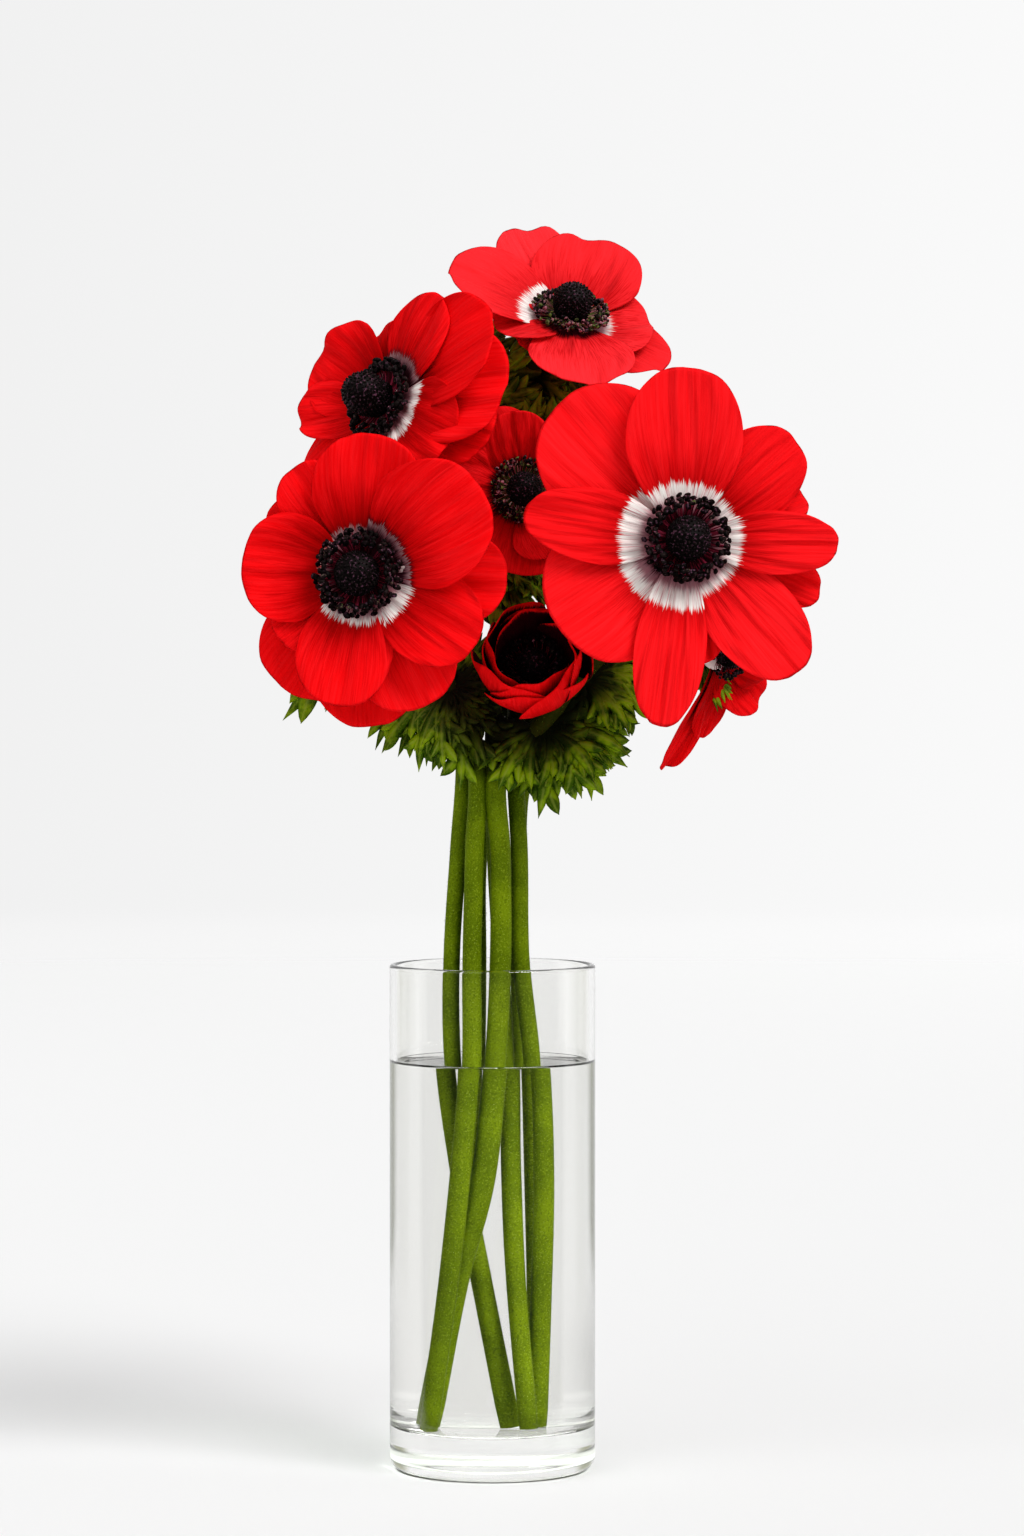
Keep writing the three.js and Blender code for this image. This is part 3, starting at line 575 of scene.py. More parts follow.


# %% [markdown]
# The petals' red is deep where the light grazes and glowing where it falls straight on. The colour is a
# scarlet with darker veins that run from claw to tip. It darkens towards the claw, which is painted shade,
# and a flower's light value brightens it all over, which is painted light. There comes the white band,
# torn into fibres and turning pinker towards its inner edge, which is painted shade, and inside it a dusky
# purple with mauve at its edge, on the inner face: partly the claw's own colour, partly painted shade
# inside the cup and beside the stamens. The sheen socket gives the silk. Veins and folds are noise
# stretched along the
# petal: how many across, how many along, detail and roughness.

# %% Petal finish
# Of these colours, the bright red is painted light, the claw red and the pink are painted shade, and the
# mauve and the dusk are partly the claw's own colour and partly painted shade.
SCARLET = (0.90, 0.005, 0.008), (1.0, 0.015, 0.019)
PAINTED_LIGHT_RED = (1.0, 0.045, 0.055)
VEIN_RED = (0.44, 0.0, 0.001)
SHADED_RED = (0.66, 0.001, 0.002)
CLAW_SHADE_RED = (0.30, 0.0, 0.001)
WHITE = (0.92, 0.88, 0.83)
STREAKS = (0.90, 0.80, 0.76), (0.55, 0.17, 0.21)
PINK_SHADE = (0.42, 0.19, 0.21)
MAUVE_AND_SHADE = (0.24, 0.075, 0.10)
DUSK_AND_SHADE = (0.030, 0.003, 0.010)
VEINS, FINE_VEINS, FOLDS = (26.0, 2.2, 3.0, 0.6), (62.0, 4.5, 2.0, 0.6), (2.8, 1.4, 1.0, 0.5)
VEINS_FADE = 14.0, 42.0, 0.8, 0.14
CLAW_SHADE_FADE = 21.0, 48.0, 0.92, 0.0
FINE_RAGGED, RAGGED = 7.0, 6.0


def petal_material():
    """Scarlet with long veins, a fibrous white band by distance from the axis, and a dusky claw.
    Painted shade darkens the red towards the claw and the band towards its inner edge, the dusky claw is
    partly painted shade, and painted light brightens the red of some flowers.
    """
    m = Finish("petal", {"Roughness": 0.62, "Specular IOR Level": 0.03, "Sheen Weight": 0.03,
                         "Sheen Roughness": 0.4, "Sheen Tint": (1.0, 0.12, 0.12)})
    names = ("along", "across", "reach", "white", "dusk_and_shade", "tone", "light", "back")
    along, across, reach, white, dusk_and_shade, tone, light, back = (m.attribute(name) for name in names)
    offset = m.times(tone, 37.0)

    def fibres(wide, long, detail, rough):
        return m.noise(m.vector(m.times(across, wide), m.times(along, long), offset), 1.0, detail, rough)

    vein, fine_vein, folds = (fibres(*kind) for kind in (VEINS, FINE_VEINS, FOLDS))
    red = m.mix(m.step(vein, 0.3, 0.72), *SCARLET)
    # Painted light: the flower's light value brightens its red all over.
    red = m.mix(light, red, PAINTED_LIGHT_RED)
    thin = m.times(m.step(fine_vein, 0.54, 0.36), m.step(reach, *VEINS_FADE))
    red = m.mix(thin, red, VEIN_RED)
    red = m.mix(m.times(tone, 0.3), red, SHADED_RED)
    # Painted shade: the red darkens towards the claw, by a random amount per petal and less on brightly
    # painted flowers.
    claw_shade = m.step(m.plus(reach, m.times(vein, 16.0)), *CLAW_SHADE_FADE)
    claw_shade = m.times(claw_shade, m.plus(m.times(tone, 0.5), 0.5))
    claw_shade = m.times(claw_shade, m.minus(1.0, m.times(light, 0.8)))
    red = m.mix(claw_shade, red, CLAW_SHADE_RED)
    ragged = m.times(m.minus(fine_vein, 0.5), FINE_RAGGED)
    ragged = m.plus(ragged, m.times(m.minus(vein, 0.5), RAGGED))
    depth = m.minus(m.minus(white, reach), ragged)
    band = m.step(depth, -0.6, 1.1)
    pale = m.mix(m.step(vein, 0.36, 0.66), WHITE, m.mix(m.step(fine_vein, 0.42, 0.62), *STREAKS))
    # Painted shade: the white band turns pinker towards its inner edge.
    colour = m.mix(band, red, m.mix(m.step(depth, 2.0, 9.0, 0.0, 0.4), pale, PINK_SHADE))
    # The dusky claw and the mauve at its edge, on the inner face only: partly the claw's own colour,
    # partly painted shade inside the cup and beside the stamens.
    depth = m.minus(m.plus(reach, ragged), dusk_and_shade)
    front = m.minus(0.96, m.times(back, 0.9))
    mauve_and_shade = m.times(m.step(depth, -1.5, 1.5, 0.9, 0.0), band)
    colour = m.mix(m.times(mauve_and_shade, front), colour, MAUVE_AND_SHADE)
    inner = m.step(m.plus(depth, m.times(band, 3.5)), -2.5, 1.0, 1.0, 0.0)
    colour = m.mix(m.times(inner, front), colour, DUSK_AND_SHADE)
    height = m.plus(vein, m.times(fine_vein, 0.45))
    relief = m.bump(height, 0.0005, 0.5, under=m.bump(folds, 0.0100, 0.6))
    m.put(m.shader, {"Base Color": colour, "Normal": relief})
    return m.material


# %% Make the petals
PETAL = petal_material()
for index, flower in enumerate(FLOWERS):
    name = flower["name"] + "_petals"
    blades = [petal_part(flower, index, j) for j in range(len(flower["petals"]))]
    make_piece(name + "_fine", blades + [receptacle_part(flower)], PETAL, name)

# %% [markdown]
# ## Seed heads and stamens
#
# The dark middle of an anemone is a dome of several hundred tiny seeds, with a collar of stamens round
# it. Each seed is a blunt spike, each stamen a thin thread with a two-lobed anther. The seeds are spread
# by the golden angle, as the plant does, so no rows show. One small shape is copied by adding arrays: all
# copies are computed at once. The stamens stand in four rings, each a little random: a ring's row gives
# how far out and how high its anthers stand and its share of the threads.

# %% Small shapes, copied at once
def copies(shape, faces, origin, axes, attributes):
    """A small shape at many places: each point times the three axes of each copy, plus its origin."""
    points = sum(shape[None, :, k:k + 1] * axis[:, None] for k, axis in enumerate(axes)) + origin[:, None]
    count = len(origin)
    spread = {name: np.repeat(np.broadcast_to(v, count), len(shape)) for name, v in attributes.items()}
    return points.reshape(-1, 3), repeated(faces, count, len(shape)), spread


# %% Seed head
GOLDEN = math.pi * (3 - math.sqrt(5))
CENTRE_SEAT = 2.9
DOME = np.array([[0, 0], [6.2, 0], [7.1, 2.6], [8.5, 7.4], [7.4, 11.6], [4.2, 14.2], [0, 15.2]])
DOME_SHRINK = 0.93
DOME_RINGS, DOME_SIDES = 26, 40
SOFTEN = [(-1.6, 0.1), (-0.8, 0.25), (0.0, 0.3), (0.8, 0.25), (1.6, 0.1)]
SEEDS = 440
SEED = np.array([(0.0, -0.5), (0.5, -0.3), (0.42, 0.3), (0.15, 0.66), (0.0, 0.7)])
SEED_SIDES = 5
SEED_SCALE = (0.8, 1.15)
SEED_LEAN = 0.22
SEEDS_FROM = 0.25


def dome_profile(flower, share):
    """Radius and height of the seed head at a share of its profile, smoothed by a weighted mean."""
    size = flower["size"]
    stretch = 1 + (flower["dome"] - 7) / 9
    steps = np.append(0, np.cumsum(np.linalg.norm(np.diff(DOME, axis=0), axis=1)))
    place = np.clip(share, 0, 1) * steps[-1]
    reach, weight = np.array(SOFTEN).T
    spots = np.clip(place[..., None] + reach, 0, steps[-1])
    radius, height = ((np.interp(spots, steps, DOME[:, k]) * weight).sum(-1) for k in range(2))
    ends = np.clip(np.minimum(share, 1 - share) * 12, 0, 1)
    radius = radius * np.sqrt(ends)
    return radius * size * DOME_SHRINK, flower["rise"] * np.clip(share * 4, 0, 1) + height * size * stretch


def seed_head(flower, seed):
    """The dome as a turned surface, with blunt spikes set in it by the golden angle."""
    r, u, n, at = frame_of(flower)
    at = at + CENTRE_SEAT * n
    outline = dome_profile(flower, np.linspace(0, 1, DOME_RINGS))
    dome, faces = revolved(*outline, DOME_SIDES, (r, u, n), at)
    body = (dome, faces, {"kind": 0.0, "shade": 0.2})
    rng = np.random.default_rng(seed)
    k = np.arange(SEEDS)
    spots = SEEDS_FROM + (1 - SEEDS_FROM) * (1 - np.sqrt((k + 0.5) / SEEDS) * 0.97)
    rad, high = dome_profile(flower, spots)
    rad_b, high_b = dome_profile(flower, spots - 0.01)
    ray = around(k * GOLDEN, r, u)
    base = at + rad[:, None] * ray + high[:, None] * n
    slope = unit((rad - rad_b)[:, None] * ray + (high - high_b)[:, None] * n)
    out = unit(np.cross(unit(np.cross(n, ray)), slope))
    out = unit(out + rng.normal(0, SEED_LEAN, out.shape))
    side = unit(np.cross(slope, out))
    scale = flower["size"] * rng.uniform(*SEED_SCALE, SEEDS)[:, None]
    axes = (side * scale, np.cross(out, side) * scale, out * scale)
    shades = {"kind": 0.0, "shade": rng.uniform(0, 1, SEEDS)}
    return [body, copies(*revolved(*SEED.T, SEED_SIDES), base, axes, shades)]


# %% Stamens
ANTHER = np.array([(0.0, -1.0), (0.62, -0.78), (0.86, -0.2), (0.82, 0.4), (0.5, 0.85), (0.0, 1.0)])
ANTHER_SIDES = 6
ANTHER_SIZE = (1.35, 1.05, 1.45)
ANTHER_SCALE = (0.85, 1.2)
FRESH_SHRINK = 0.15
FURROW = 0.3
RINGS = [(11.4, 9.0, 0.22), (12.7, 9.0, 0.25), (14.0, 7.8, 0.27), (15.2, 5.8, 0.26)]
FARTHEST = 15.9
RING_SHIFT = 0.37
TURN_JITTER, PLACE_JITTER, SIDE_JITTER = 0.05, 0.5, 0.3
THREAD_STEPS, THREAD_SIDES = 6, 4
THREAD_ROOT = (5.6, 1.0)
THREAD_THICK, THREAD_TAPER = 0.34, 0.14
BOW_OUT, BOW_DOWN = 4.5, 2.0


def stamens(flower, seed):
    """Threads from the foot of the dome out to four staggered rings, each ending in an anther."""
    r, u, n, at = frame_of(flower)
    at = at + CENTRE_SEAT * n
    rng = np.random.default_rng(seed)
    size = flower["size"]
    ring_reach, ring_height, ring_share = np.array(RINGS).T
    each = [int(round(flower["threads"] * share)) for share in ring_share]
    rings = np.repeat(np.arange(len(RINGS)), each)
    count = len(rings)
    place = np.concatenate([np.arange(c) / c for c in each])
    turn = 2 * np.pi * (place + RING_SHIFT * rings) + rng.normal(0, TURN_JITTER, count)
    reach = ring_reach[rings] + rng.normal(0, PLACE_JITTER, count)
    high = flower["crown"] * ring_height[rings] + rng.normal(0, PLACE_JITTER, count)
    ray = around(turn, r, u)
    side = unit(np.cross(n, ray))
    root = at + size * (THREAD_ROOT[0] * ray + THREAD_ROOT[1] * n)
    reach, high = size * np.minimum(reach, FARTHEST), flower["rise"] + size * high
    tip = at + reach[:, None] * ray + high[:, None] * n
    tip += size * rng.normal(0, SIDE_JITTER, count)[:, None] * side
    share = np.linspace(0, 1, THREAD_STEPS)
    bow = (share * (1 - share))[None, :, None]
    path = root[:, None] + (tip - root)[:, None] * share[None, :, None]
    path += size * BOW_OUT * bow * ray[:, None] - size * BOW_DOWN * bow * n
    thick = size * (THREAD_THICK - THREAD_TAPER * share)
    tube = path[:, :, None] + thick[None, :, None, None] * circle(THREAD_SIDES, side[:, None, None], n)
    points = THREAD_STEPS * THREAD_SIDES
    ring = np.arange(THREAD_SIDES)
    caps = np.stack([ring[::-1], points - THREAD_SIDES + ring])
    faces = np.concatenate([grid_faces(THREAD_STEPS, THREAD_SIDES, wrap=True), caps])
    shade = rng.uniform(0, 1, count)
    filaments = (tube.reshape(-1, 3), repeated(faces, count, points),
                 {"kind": 1.0, "shade": np.repeat(shade, points)})
    lean = unit(ray * rng.normal(0.55, 0.5, count)[:, None] + side * rng.normal(0, 0.8, count)[:, None]
                + n * rng.normal(0.75, 0.4, count)[:, None])
    wide = unit(np.cross(lean, ray + 0.3 * side))
    scale = size * (1 - FRESH_SHRINK * flower["fresh"]) * rng.uniform(*ANTHER_SCALE, count)[:, None]
    axes = [axis * scale * part for axis, part in zip((wide, np.cross(lean, wide), lean), ANTHER_SIZE)]
    shape, faces = revolved(*ANTHER.T, ANTHER_SIDES)
    shape[:, 1] *= 1 - FURROW * np.exp(-(shape[:, 0] / 0.3) ** 2)
    return [filaments, copies(shape, faces, tip, axes, {"kind": 2.0, "shade": shade})]


# %% [markdown]
# Nearly black does not mean flat black: fine purple specks on seeds and anthers are painted glints, and
# the anthers carry olive and dull pink specks of pollen.
# The attribute `kind` tells seeds, threads and anthers apart, and `shade` varies from one to the next.
# Fresh flowers have greener threads and more specks on their anthers.

# %% Seed head finish
BLACK = (0.003, 0.002, 0.002), (0.014, 0.008, 0.007)
PURPLE_GLINTS = (0.110, 0.048, 0.078)
SPOTS = (0.10, 0.14, 0.03), (0.40, 0.15, 0.19)
SPECK_NOISE, SPOT_NOISE = (900.0, 2.0, 0.6), (330.0, 2.0, 0.5)


def centre_material(name, threads, specks):
    """Near black with purple specks, which are painted glints, and olive and pink pollen specks on the
    anthers; the threads have two colours of their own.
    """
    m = Finish(name, {"Roughness": 0.6, "Specular IOR Level": 0.15})
    kind, shade = m.attribute("kind"), m.attribute("shade")
    grain, patch = m.noise(m.place(), *SPECK_NOISE), m.noise(m.place(), *SPOT_NOISE)
    # Painted highlight: fine purple glints over the near black.
    dark = m.mix(m.step(grain, 0.55, 0.70), m.mix(shade, *BLACK), PURPLE_GLINTS)
    spotted = m.mix(m.step(patch, 0.47, 0.53), *SPOTS)
    low = 0.78 - 0.36 * specks
    bright = m.times(m.step(grain, low, low + 0.12), m.step(shade, 1 - specks, 1.0))
    dark = m.mix(m.times(bright, m.math("GREATER_THAN", kind, 1.5)), dark, spotted)
    threaded = m.mix(m.step(shade, 0.2, 0.9), *threads)
    colour = m.mix(m.math("COMPARE", kind, 1.0, 0.4), dark, threaded)
    m.put(m.shader, {"Base Color": colour, "Normal": m.bump(grain, 0.0004, 0.6)})
    return m.material


# %% Make the seed heads
CENTRES = [
    centre_material("centre_dark", ((0.09, 0.006, 0.018), (0.38, 0.05, 0.10)), 0.5),
    centre_material("centre_fresh", ((0.10, 0.14, 0.03), (0.50, 0.17, 0.22)), 0.95),
]
for index, flower in enumerate(FLOWERS):
    name = flower["name"] + "_centre"
    parts = seed_head(flower, 40 + index) + stamens(flower, 60 + index)
    make_piece(name + "_fine", parts, CENTRES[flower["fresh"]], name)

# %% [markdown]
# ## Stems
#
# A cut anemone's stem is round, juicy and covered with short soft hairs. It is a tube carried along a
# smooth curve through the path's points. The hairs are real little spikes, because at this scale they
# show as a pale fuzz along the outline, which no bump map can give.

# %% Curves through points
BASE = 16
GAP = 0.3
STEM_SEAT = 2.75


def stem_points(flower):
    """The path's points: the foot stands on the glass floor, the end sits behind the flower's face."""
    path = np.array(flower["path"], float)
    (x, y, _), (x2, y2, z2) = path[:2]
    lean = math.hypot(x2 - x, y2 - y) / (z2 - BASE)
    path[0, 2] = BASE + GAP + flower["radius"] * lean
    _, _, n, at = frame_of(flower)
    return np.vstack([path, at - STEM_SEAT * n])


def smooth_curve(points, per_stretch):
    """A centripetal Catmull-Rom curve: cubic stretches whose tangents weigh the neighbouring gaps by the
    square root of their lengths. Returns places and directions."""
    ends = np.vstack([2 * points[0] - points[1], points, 2 * points[-1] - points[-2]])
    gaps = np.sqrt(np.linalg.norm(np.diff(ends, axis=0), axis=1))[:, None]
    p0, p1, p2, p3 = ends[:-3], ends[1:-2], ends[2:-1], ends[3:]
    d0, d1, d2 = gaps[:-2], gaps[1:-1], gaps[2:]
    t1 = ((p1 - p0) / d0 - (p2 - p0) / (d0 + d1) + (p2 - p1) / d1) * d1
    t2 = ((p2 - p1) / d1 - (p3 - p1) / (d1 + d2) + (p3 - p2) / d2) * d1
    w = np.arange(per_stretch)[None, :, None] / per_stretch
    a, b = p1[:, None], t1[:, None]
    c = (-3 * p1 + 3 * p2 - 2 * t1 - t2)[:, None]
    d = (2 * p1 - 2 * p2 + t1 + t2)[:, None]
    place = (a + b * w + c * w ** 2 + d * w ** 3).reshape(-1, 3)
    slope = (b + 2 * c * w + 3 * d * w ** 2).reshape(-1, 3)
    return np.vstack([place, points[-1]]), unit(np.vstack([slope, slope[-1]]))


def cross_axes(direction):
    """Two directions across a stem, the first kept as near +X as it can be, so that they never spin."""
    first = unit(AXES[0] - direction[:, 0:1] * direction)
    return first, np.cross(direction, first)


# %% Stem tube and hairs
STEM_SIDES, STEM_STEPS = 20, 14
SWELLS, RIBS = 0.012, 0.014
HAIRS = 2600
HAIR_STEPS = 60
BARE_ENDS = (1.0, 6)
HAIR_LENGTH = (0.45, 1.0)
HAIR = np.array([[0.055, 0, 0], [-0.03, 0.048, 0], [-0.03, -0.048, 0], [0, 0, 1.0]])
HAIR_FACES = np.array([[2, 1, 0], [0, 1, 3], [1, 2, 3], [2, 0, 3]])


def stem_part(flower):
    """A round tube with faint ribs, closed at both ends by drawing the end rings in."""
    place, direction = smooth_curve(stem_points(flower), STEM_STEPS)
    a, b = cross_axes(direction)
    steps = len(place)
    angle = 2 * np.pi * np.arange(STEM_SIDES) / STEM_SIDES
    run = np.linspace(0, 1, steps)
    radius = flower["radius"] * (1 + SWELLS * np.sin(37 * run + 2))
    ribbed = radius[:, None] * (1 + RIBS * np.cos(7 * angle + 3 * run[:, None]))
    ribbed[[0, -1]] *= 0.02
    ribbed[1] *= 0.93
    place[1] = place[0] + 0.02 * (place[1] - place[0])
    ring = place[:, None] + ribbed[..., None] * around(angle, a[:, None], b[:, None])
    return (ring.reshape(-1, 3), grid_faces(steps, STEM_SIDES, wrap=True)[:, ::-1],
            {"turn": np.tile(angle, steps), "outer": 1.0, "leaf": 0.0})


def hairs(flower, seed):
    """Three-sided spikes at random places of the stem, leaning up a little and out."""
    rng = np.random.default_rng(seed)
    place, direction = smooth_curve(stem_points(flower), HAIR_STEPS)
    lengths = np.append(0, np.cumsum(np.linalg.norm(np.diff(place, axis=0), axis=1)))
    spot = rng.uniform(BARE_ENDS[0], lengths[-1] - BARE_ENDS[1], HAIRS)
    base, along = (np.stack([np.interp(spot, lengths, values[:, k]) for k in range(3)], axis=-1)
                   for values in (place, direction))
    along = unit(along)
    out = around(rng.uniform(0, 2 * np.pi, HAIRS), *cross_axes(along))
    base = base + out * (flower["radius"] - 0.08)
    aim = unit(out + rng.normal(0.15, 0.3, (HAIRS, 1)) * along + rng.normal(0, 0.3, (HAIRS, 3)))
    side = unit(np.cross(aim, along))
    length = rng.uniform(*HAIR_LENGTH, HAIRS)[:, None]
    axes = (side, np.cross(aim, side), aim * length)
    return [copies(HAIR, HAIR_FACES, base, axes, {"shade": rng.uniform(0, 1, HAIRS)})]


# %% [markdown]
# ## Cut leaves
#
# Under each flower sits a ruff of leaves cut into narrow fingers. A leaf is drawn flat first, as a fan
# of tapering fingers on a stalk, and then laid over a bent sheet that runs from the stem to the leaf's
# tip. Each finger is a thin closed ribbon, hollowed along its vein. A lobe's row gives its heading,
# length and start, a side finger's row its place along the lobe, its turn and its part of the length.

# %% The flat pattern of a leaf
LEAF_THICK = 0.42
RIBBON_ROWS, RIBBON_COLS = 9, 5
STALK = (0.0, 0.0, 0.0, 0.5, 0.06, 0.0, 0.0, 0.0)
LOBES = [(-58, 0.60, 0.06), (-28, 0.84, 0.10), (2, 0.92, 0.10), (30, 0.84, 0.10), (58, 0.60, 0.06)]
SIDE_FINGERS = [(0.30, 34, 0.44), (0.36, -36, 0.44), (0.58, 28, 0.34), (0.64, -28, 0.34)]
LOBE_WIDTH, FINGER_WIDTH = 0.098, 0.082


def leaf_fingers(seed):
    """Rows of x, y, heading, length, width, curve, lift and droop: five lobes, each with side fingers."""
    rng = np.random.default_rng(seed)
    rows = [STALK]
    for heading, length, start in LOBES:
        heading = math.radians(heading + rng.normal(0, 4))
        length *= rng.uniform(0.9, 1.06)
        bend, lift, droop = rng.normal(0, 0.25), rng.normal(0, 0.08), rng.normal(0, 0.10)
        rows.append((start, 0.0, heading, length, LOBE_WIDTH, bend, lift, droop))
        for share, turn, part in SIDE_FINGERS:
            side = heading + bend * share + math.radians(turn + rng.normal(0, 5))
            x = start + share * length * math.cos(heading + bend * share / 2)
            y = share * length * math.sin(heading + bend * share / 2)
            rows.append((x, y, side, length * part * rng.uniform(0.85, 1.15), FINGER_WIDTH,
                         rng.normal(0, 0.3), lift + 2 * droop * share + rng.normal(0, 0.06), droop))
    return np.array(rows)


def leaf_ribbons(rows):
    """Each finger on the flat: a spine that bends steadily, with a width that swells and then tapers."""
    x, y, heading, length, width, bend, lift, droop = (rows[:, i][:, None, None] for i in range(8))
    s, t = np.meshgrid(np.linspace(0, 1, RIBBON_ROWS), np.linspace(-1, 1, RIBBON_COLS), indexing="ij")
    angle = heading + bend * s
    mid = heading + bend * s / 2
    swell = (0.42 + 1.3 * s ** 0.9) * (1 - s ** 2.2)
    half = width * np.maximum(swell, 0.0) * np.minimum(1, length / 0.3)
    px = x + s * length * np.cos(mid) - t * half * np.sin(angle)
    py = y + s * length * np.sin(mid) + t * half * np.cos(angle)
    hollow = half * 0.7 * (np.abs(t) ** 1.3 - 0.4) + lift * length * s + droop * length * s * s
    return px, py, hollow, np.broadcast_to(t, px.shape)


# %% Lay a leaf over its bent sheet
LEAF_SIZE = 1.05
CURL_UP, HOLLOW = 0.3, 0.8
TOWARDS = (0, -1, 0.25)


def leaf_part(flower, leaf, layer):
    """The sheet follows a parabola from root to tip, spreads across it and curls up at the sides. Each
    finger has two skins, with a face across the blunt edge at its start and at its end."""
    point, tip, bulge, width, seed = leaf
    more_seed, shift, spread = layer
    root = np.array(flower["path"][point], float)
    tip = np.array(tip, float) + shift
    control = (root + tip) / 2 + bulge
    size = np.linalg.norm(tip - root) * LEAF_SIZE * width * spread
    px, py, hollow, t = leaf_ribbons(leaf_fingers(seed * 7 + more_seed))
    w = px[..., None]
    inside = np.clip(w, 0, 1)
    place = (1 - inside) ** 2 * root + 2 * inside * (1 - inside) * control + inside ** 2 * tip
    along = 2 * (1 - inside) * (control - root) + 2 * inside * (tip - control)
    place = place + (w - inside) * along
    along = unit(along)
    side = unit(np.cross(along, TOWARDS))
    lift = size * (CURL_UP * py ** 2 + hollow * HOLLOW)[..., None]
    sheet = place + size * py[..., None] * side + lift * np.cross(along, side)
    normal = unit(np.cross(np.gradient(sheet, axis=1), np.gradient(sheet, axis=2)) + 1e-9)
    half = (LEAF_THICK / 2 * np.minimum((1 - np.abs(t)) * RIBBON_COLS, 1))[..., None] * normal
    faces, front, back = skin_faces(RIBBON_ROWS, RIBBON_COLS, joined_ends=False)
    inner = range(1, RIBBON_COLS - 2)
    starts = [(front[0, j], back[0, j], back[0, j + 1], front[0, j + 1]) for j in inner]
    ends = [(front[-1, j + 1], back[-1, j + 1], back[-1, j], front[-1, j]) for j in inner]
    faces = repeated(np.concatenate([faces, starts, ends]), len(sheet), 2 * front.size)
    points = np.stack([sheet + half, sheet - half], axis=1).reshape(-1, 3)
    turn, outer = (np.stack([values, values], axis=1).reshape(-1) for values in (t, px))
    return tidied(points, faces, {"turn": turn, "outer": outer, "leaf": 1.0})


# %% [markdown]
# Stems and leaves share one material. The stems are a yellower, speckled olive, painted darker under the
# ruffs as shade. The leaves are dark near the stem, partly their own darker base and partly painted shade,
# with a pale vein down the middle of each finger. Where the ruffs crowd together in the middle of the
# bunch hardly any light gets in, so the green is painted dark there as shade.

# %% Green finish
# Painted shade: the dark heart of the bunch; the ruff's dark on the stems is painted shade too.
HEART_AT = (-0.004, -0.010, 0.281)
HEART_SIZE = (0.016, 0.060, 0.018)
HEART_SHADE = (0.020, 0.014, 0.006)
RUFF_SHADE_FROM, RUFF_SHADE_TO = 0.250, 0.272
RUFF_SHADE = (0.030, 0.030, 0.006)
STEM_GREENS = (0.100, 0.150, 0.002), (0.158, 0.228, 0.003)
STEM_LIGHT, STEM_DARK = (0.27, 0.36, 0.03), (0.060, 0.085, 0.002)
LEAF_GREENS = (0.050, 0.100, 0.003), (0.21, 0.32, 0.007)
# The leaves' dark near the stem is partly their own colour and partly painted shade.
LEAF_LIGHT, LEAF_ROOT_DARK_AND_SHADE = (0.25, 0.31, 0.05), (0.012, 0.018, 0.005)
LEAF_VEIN = (0.28, 0.34, 0.07)
GRAIN, PATCHES = (1500.0, 2.0, 0.6), (60.0, 3.0, 0.5)
CLUMPS, BUMPS = (150.0, 2.0, 0.5), (800.0, 3.0, 0.6)


def green_material():
    """Olive green with fine specks on stems, darker with a light vein on leaves. Painted shade darkens the
    stems under the ruffs, partly the leaves near the stem, and the middle of the bunch.
    """
    m = Finish("green", {"Roughness": 0.55, "Specular IOR Level": 0.08})
    leaf, turn, outer = m.attribute("leaf"), m.attribute("turn"), m.attribute("outer")
    place = m.place()
    grain, patch, clump, bumps = (m.noise(place, *kind) for kind in (GRAIN, PATCHES, CLUMPS, BUMPS))
    stem = m.mix(m.step(patch, 0.3, 0.7), *STEM_GREENS)
    stem = m.mix(m.times(m.step(grain, 0.55, 0.72), 0.65), stem, STEM_LIGHT)
    stem = m.mix(m.times(m.step(grain, 0.47, 0.30), 0.7), stem, STEM_DARK)
    # Painted shade: the stems turn dark where they run under the ruffs.
    stem = m.mix(m.step(m.split(place)[2], RUFF_SHADE_FROM, RUFF_SHADE_TO, 0.0, 0.85), stem, RUFF_SHADE)
    blade = m.mix(m.step(clump, 0.4, 0.6), *LEAF_GREENS)
    blade = m.mix(m.times(m.step(grain, 0.5, 0.7), 0.25), blade, LEAF_LIGHT)
    blade = m.mix(m.times(m.step(m.math("ABSOLUTE", turn), 0.30, 0.05), 0.35), blade, LEAF_VEIN)
    # Partly painted shade: the leaves darken towards the stem.
    blade = m.mix(m.step(m.plus(outer, m.times(patch, 0.3)), 0.35, 0.80), LEAF_ROOT_DARK_AND_SHADE, blade)
    # Painted shade: the green turns dark in the crowded middle of the bunch.
    scaled = m.vectors("DIVIDE", m.vectors("SUBTRACT", place, HEART_AT), HEART_SIZE)
    heart_shade = m.step(m.vectors("LENGTH", scaled), 1.5, 0.5, 0.0, 0.85)
    colour = m.mix(heart_shade, m.mix(leaf, stem, blade), HEART_SHADE)
    m.put(m.shader, {"Base Color": colour, "Normal": m.bump(bumps, 0.0004, 0.5)})
    return m.material


def hair_material():
    """Pale, slightly green hairs."""
    m = Finish("hair", {"Roughness": 0.6})
    m.put(m.shader, {"Base Color": m.mix(m.attribute("shade"), (0.28, 0.37, 0.04), (0.44, 0.52, 0.12))})
    return m.material


# %% [markdown]
# Each leaf of a flower's rows is laid in three layers, with another random pattern, a shift and a width
# for each. Three small leaves more close white gaps in the middle of the bunch.

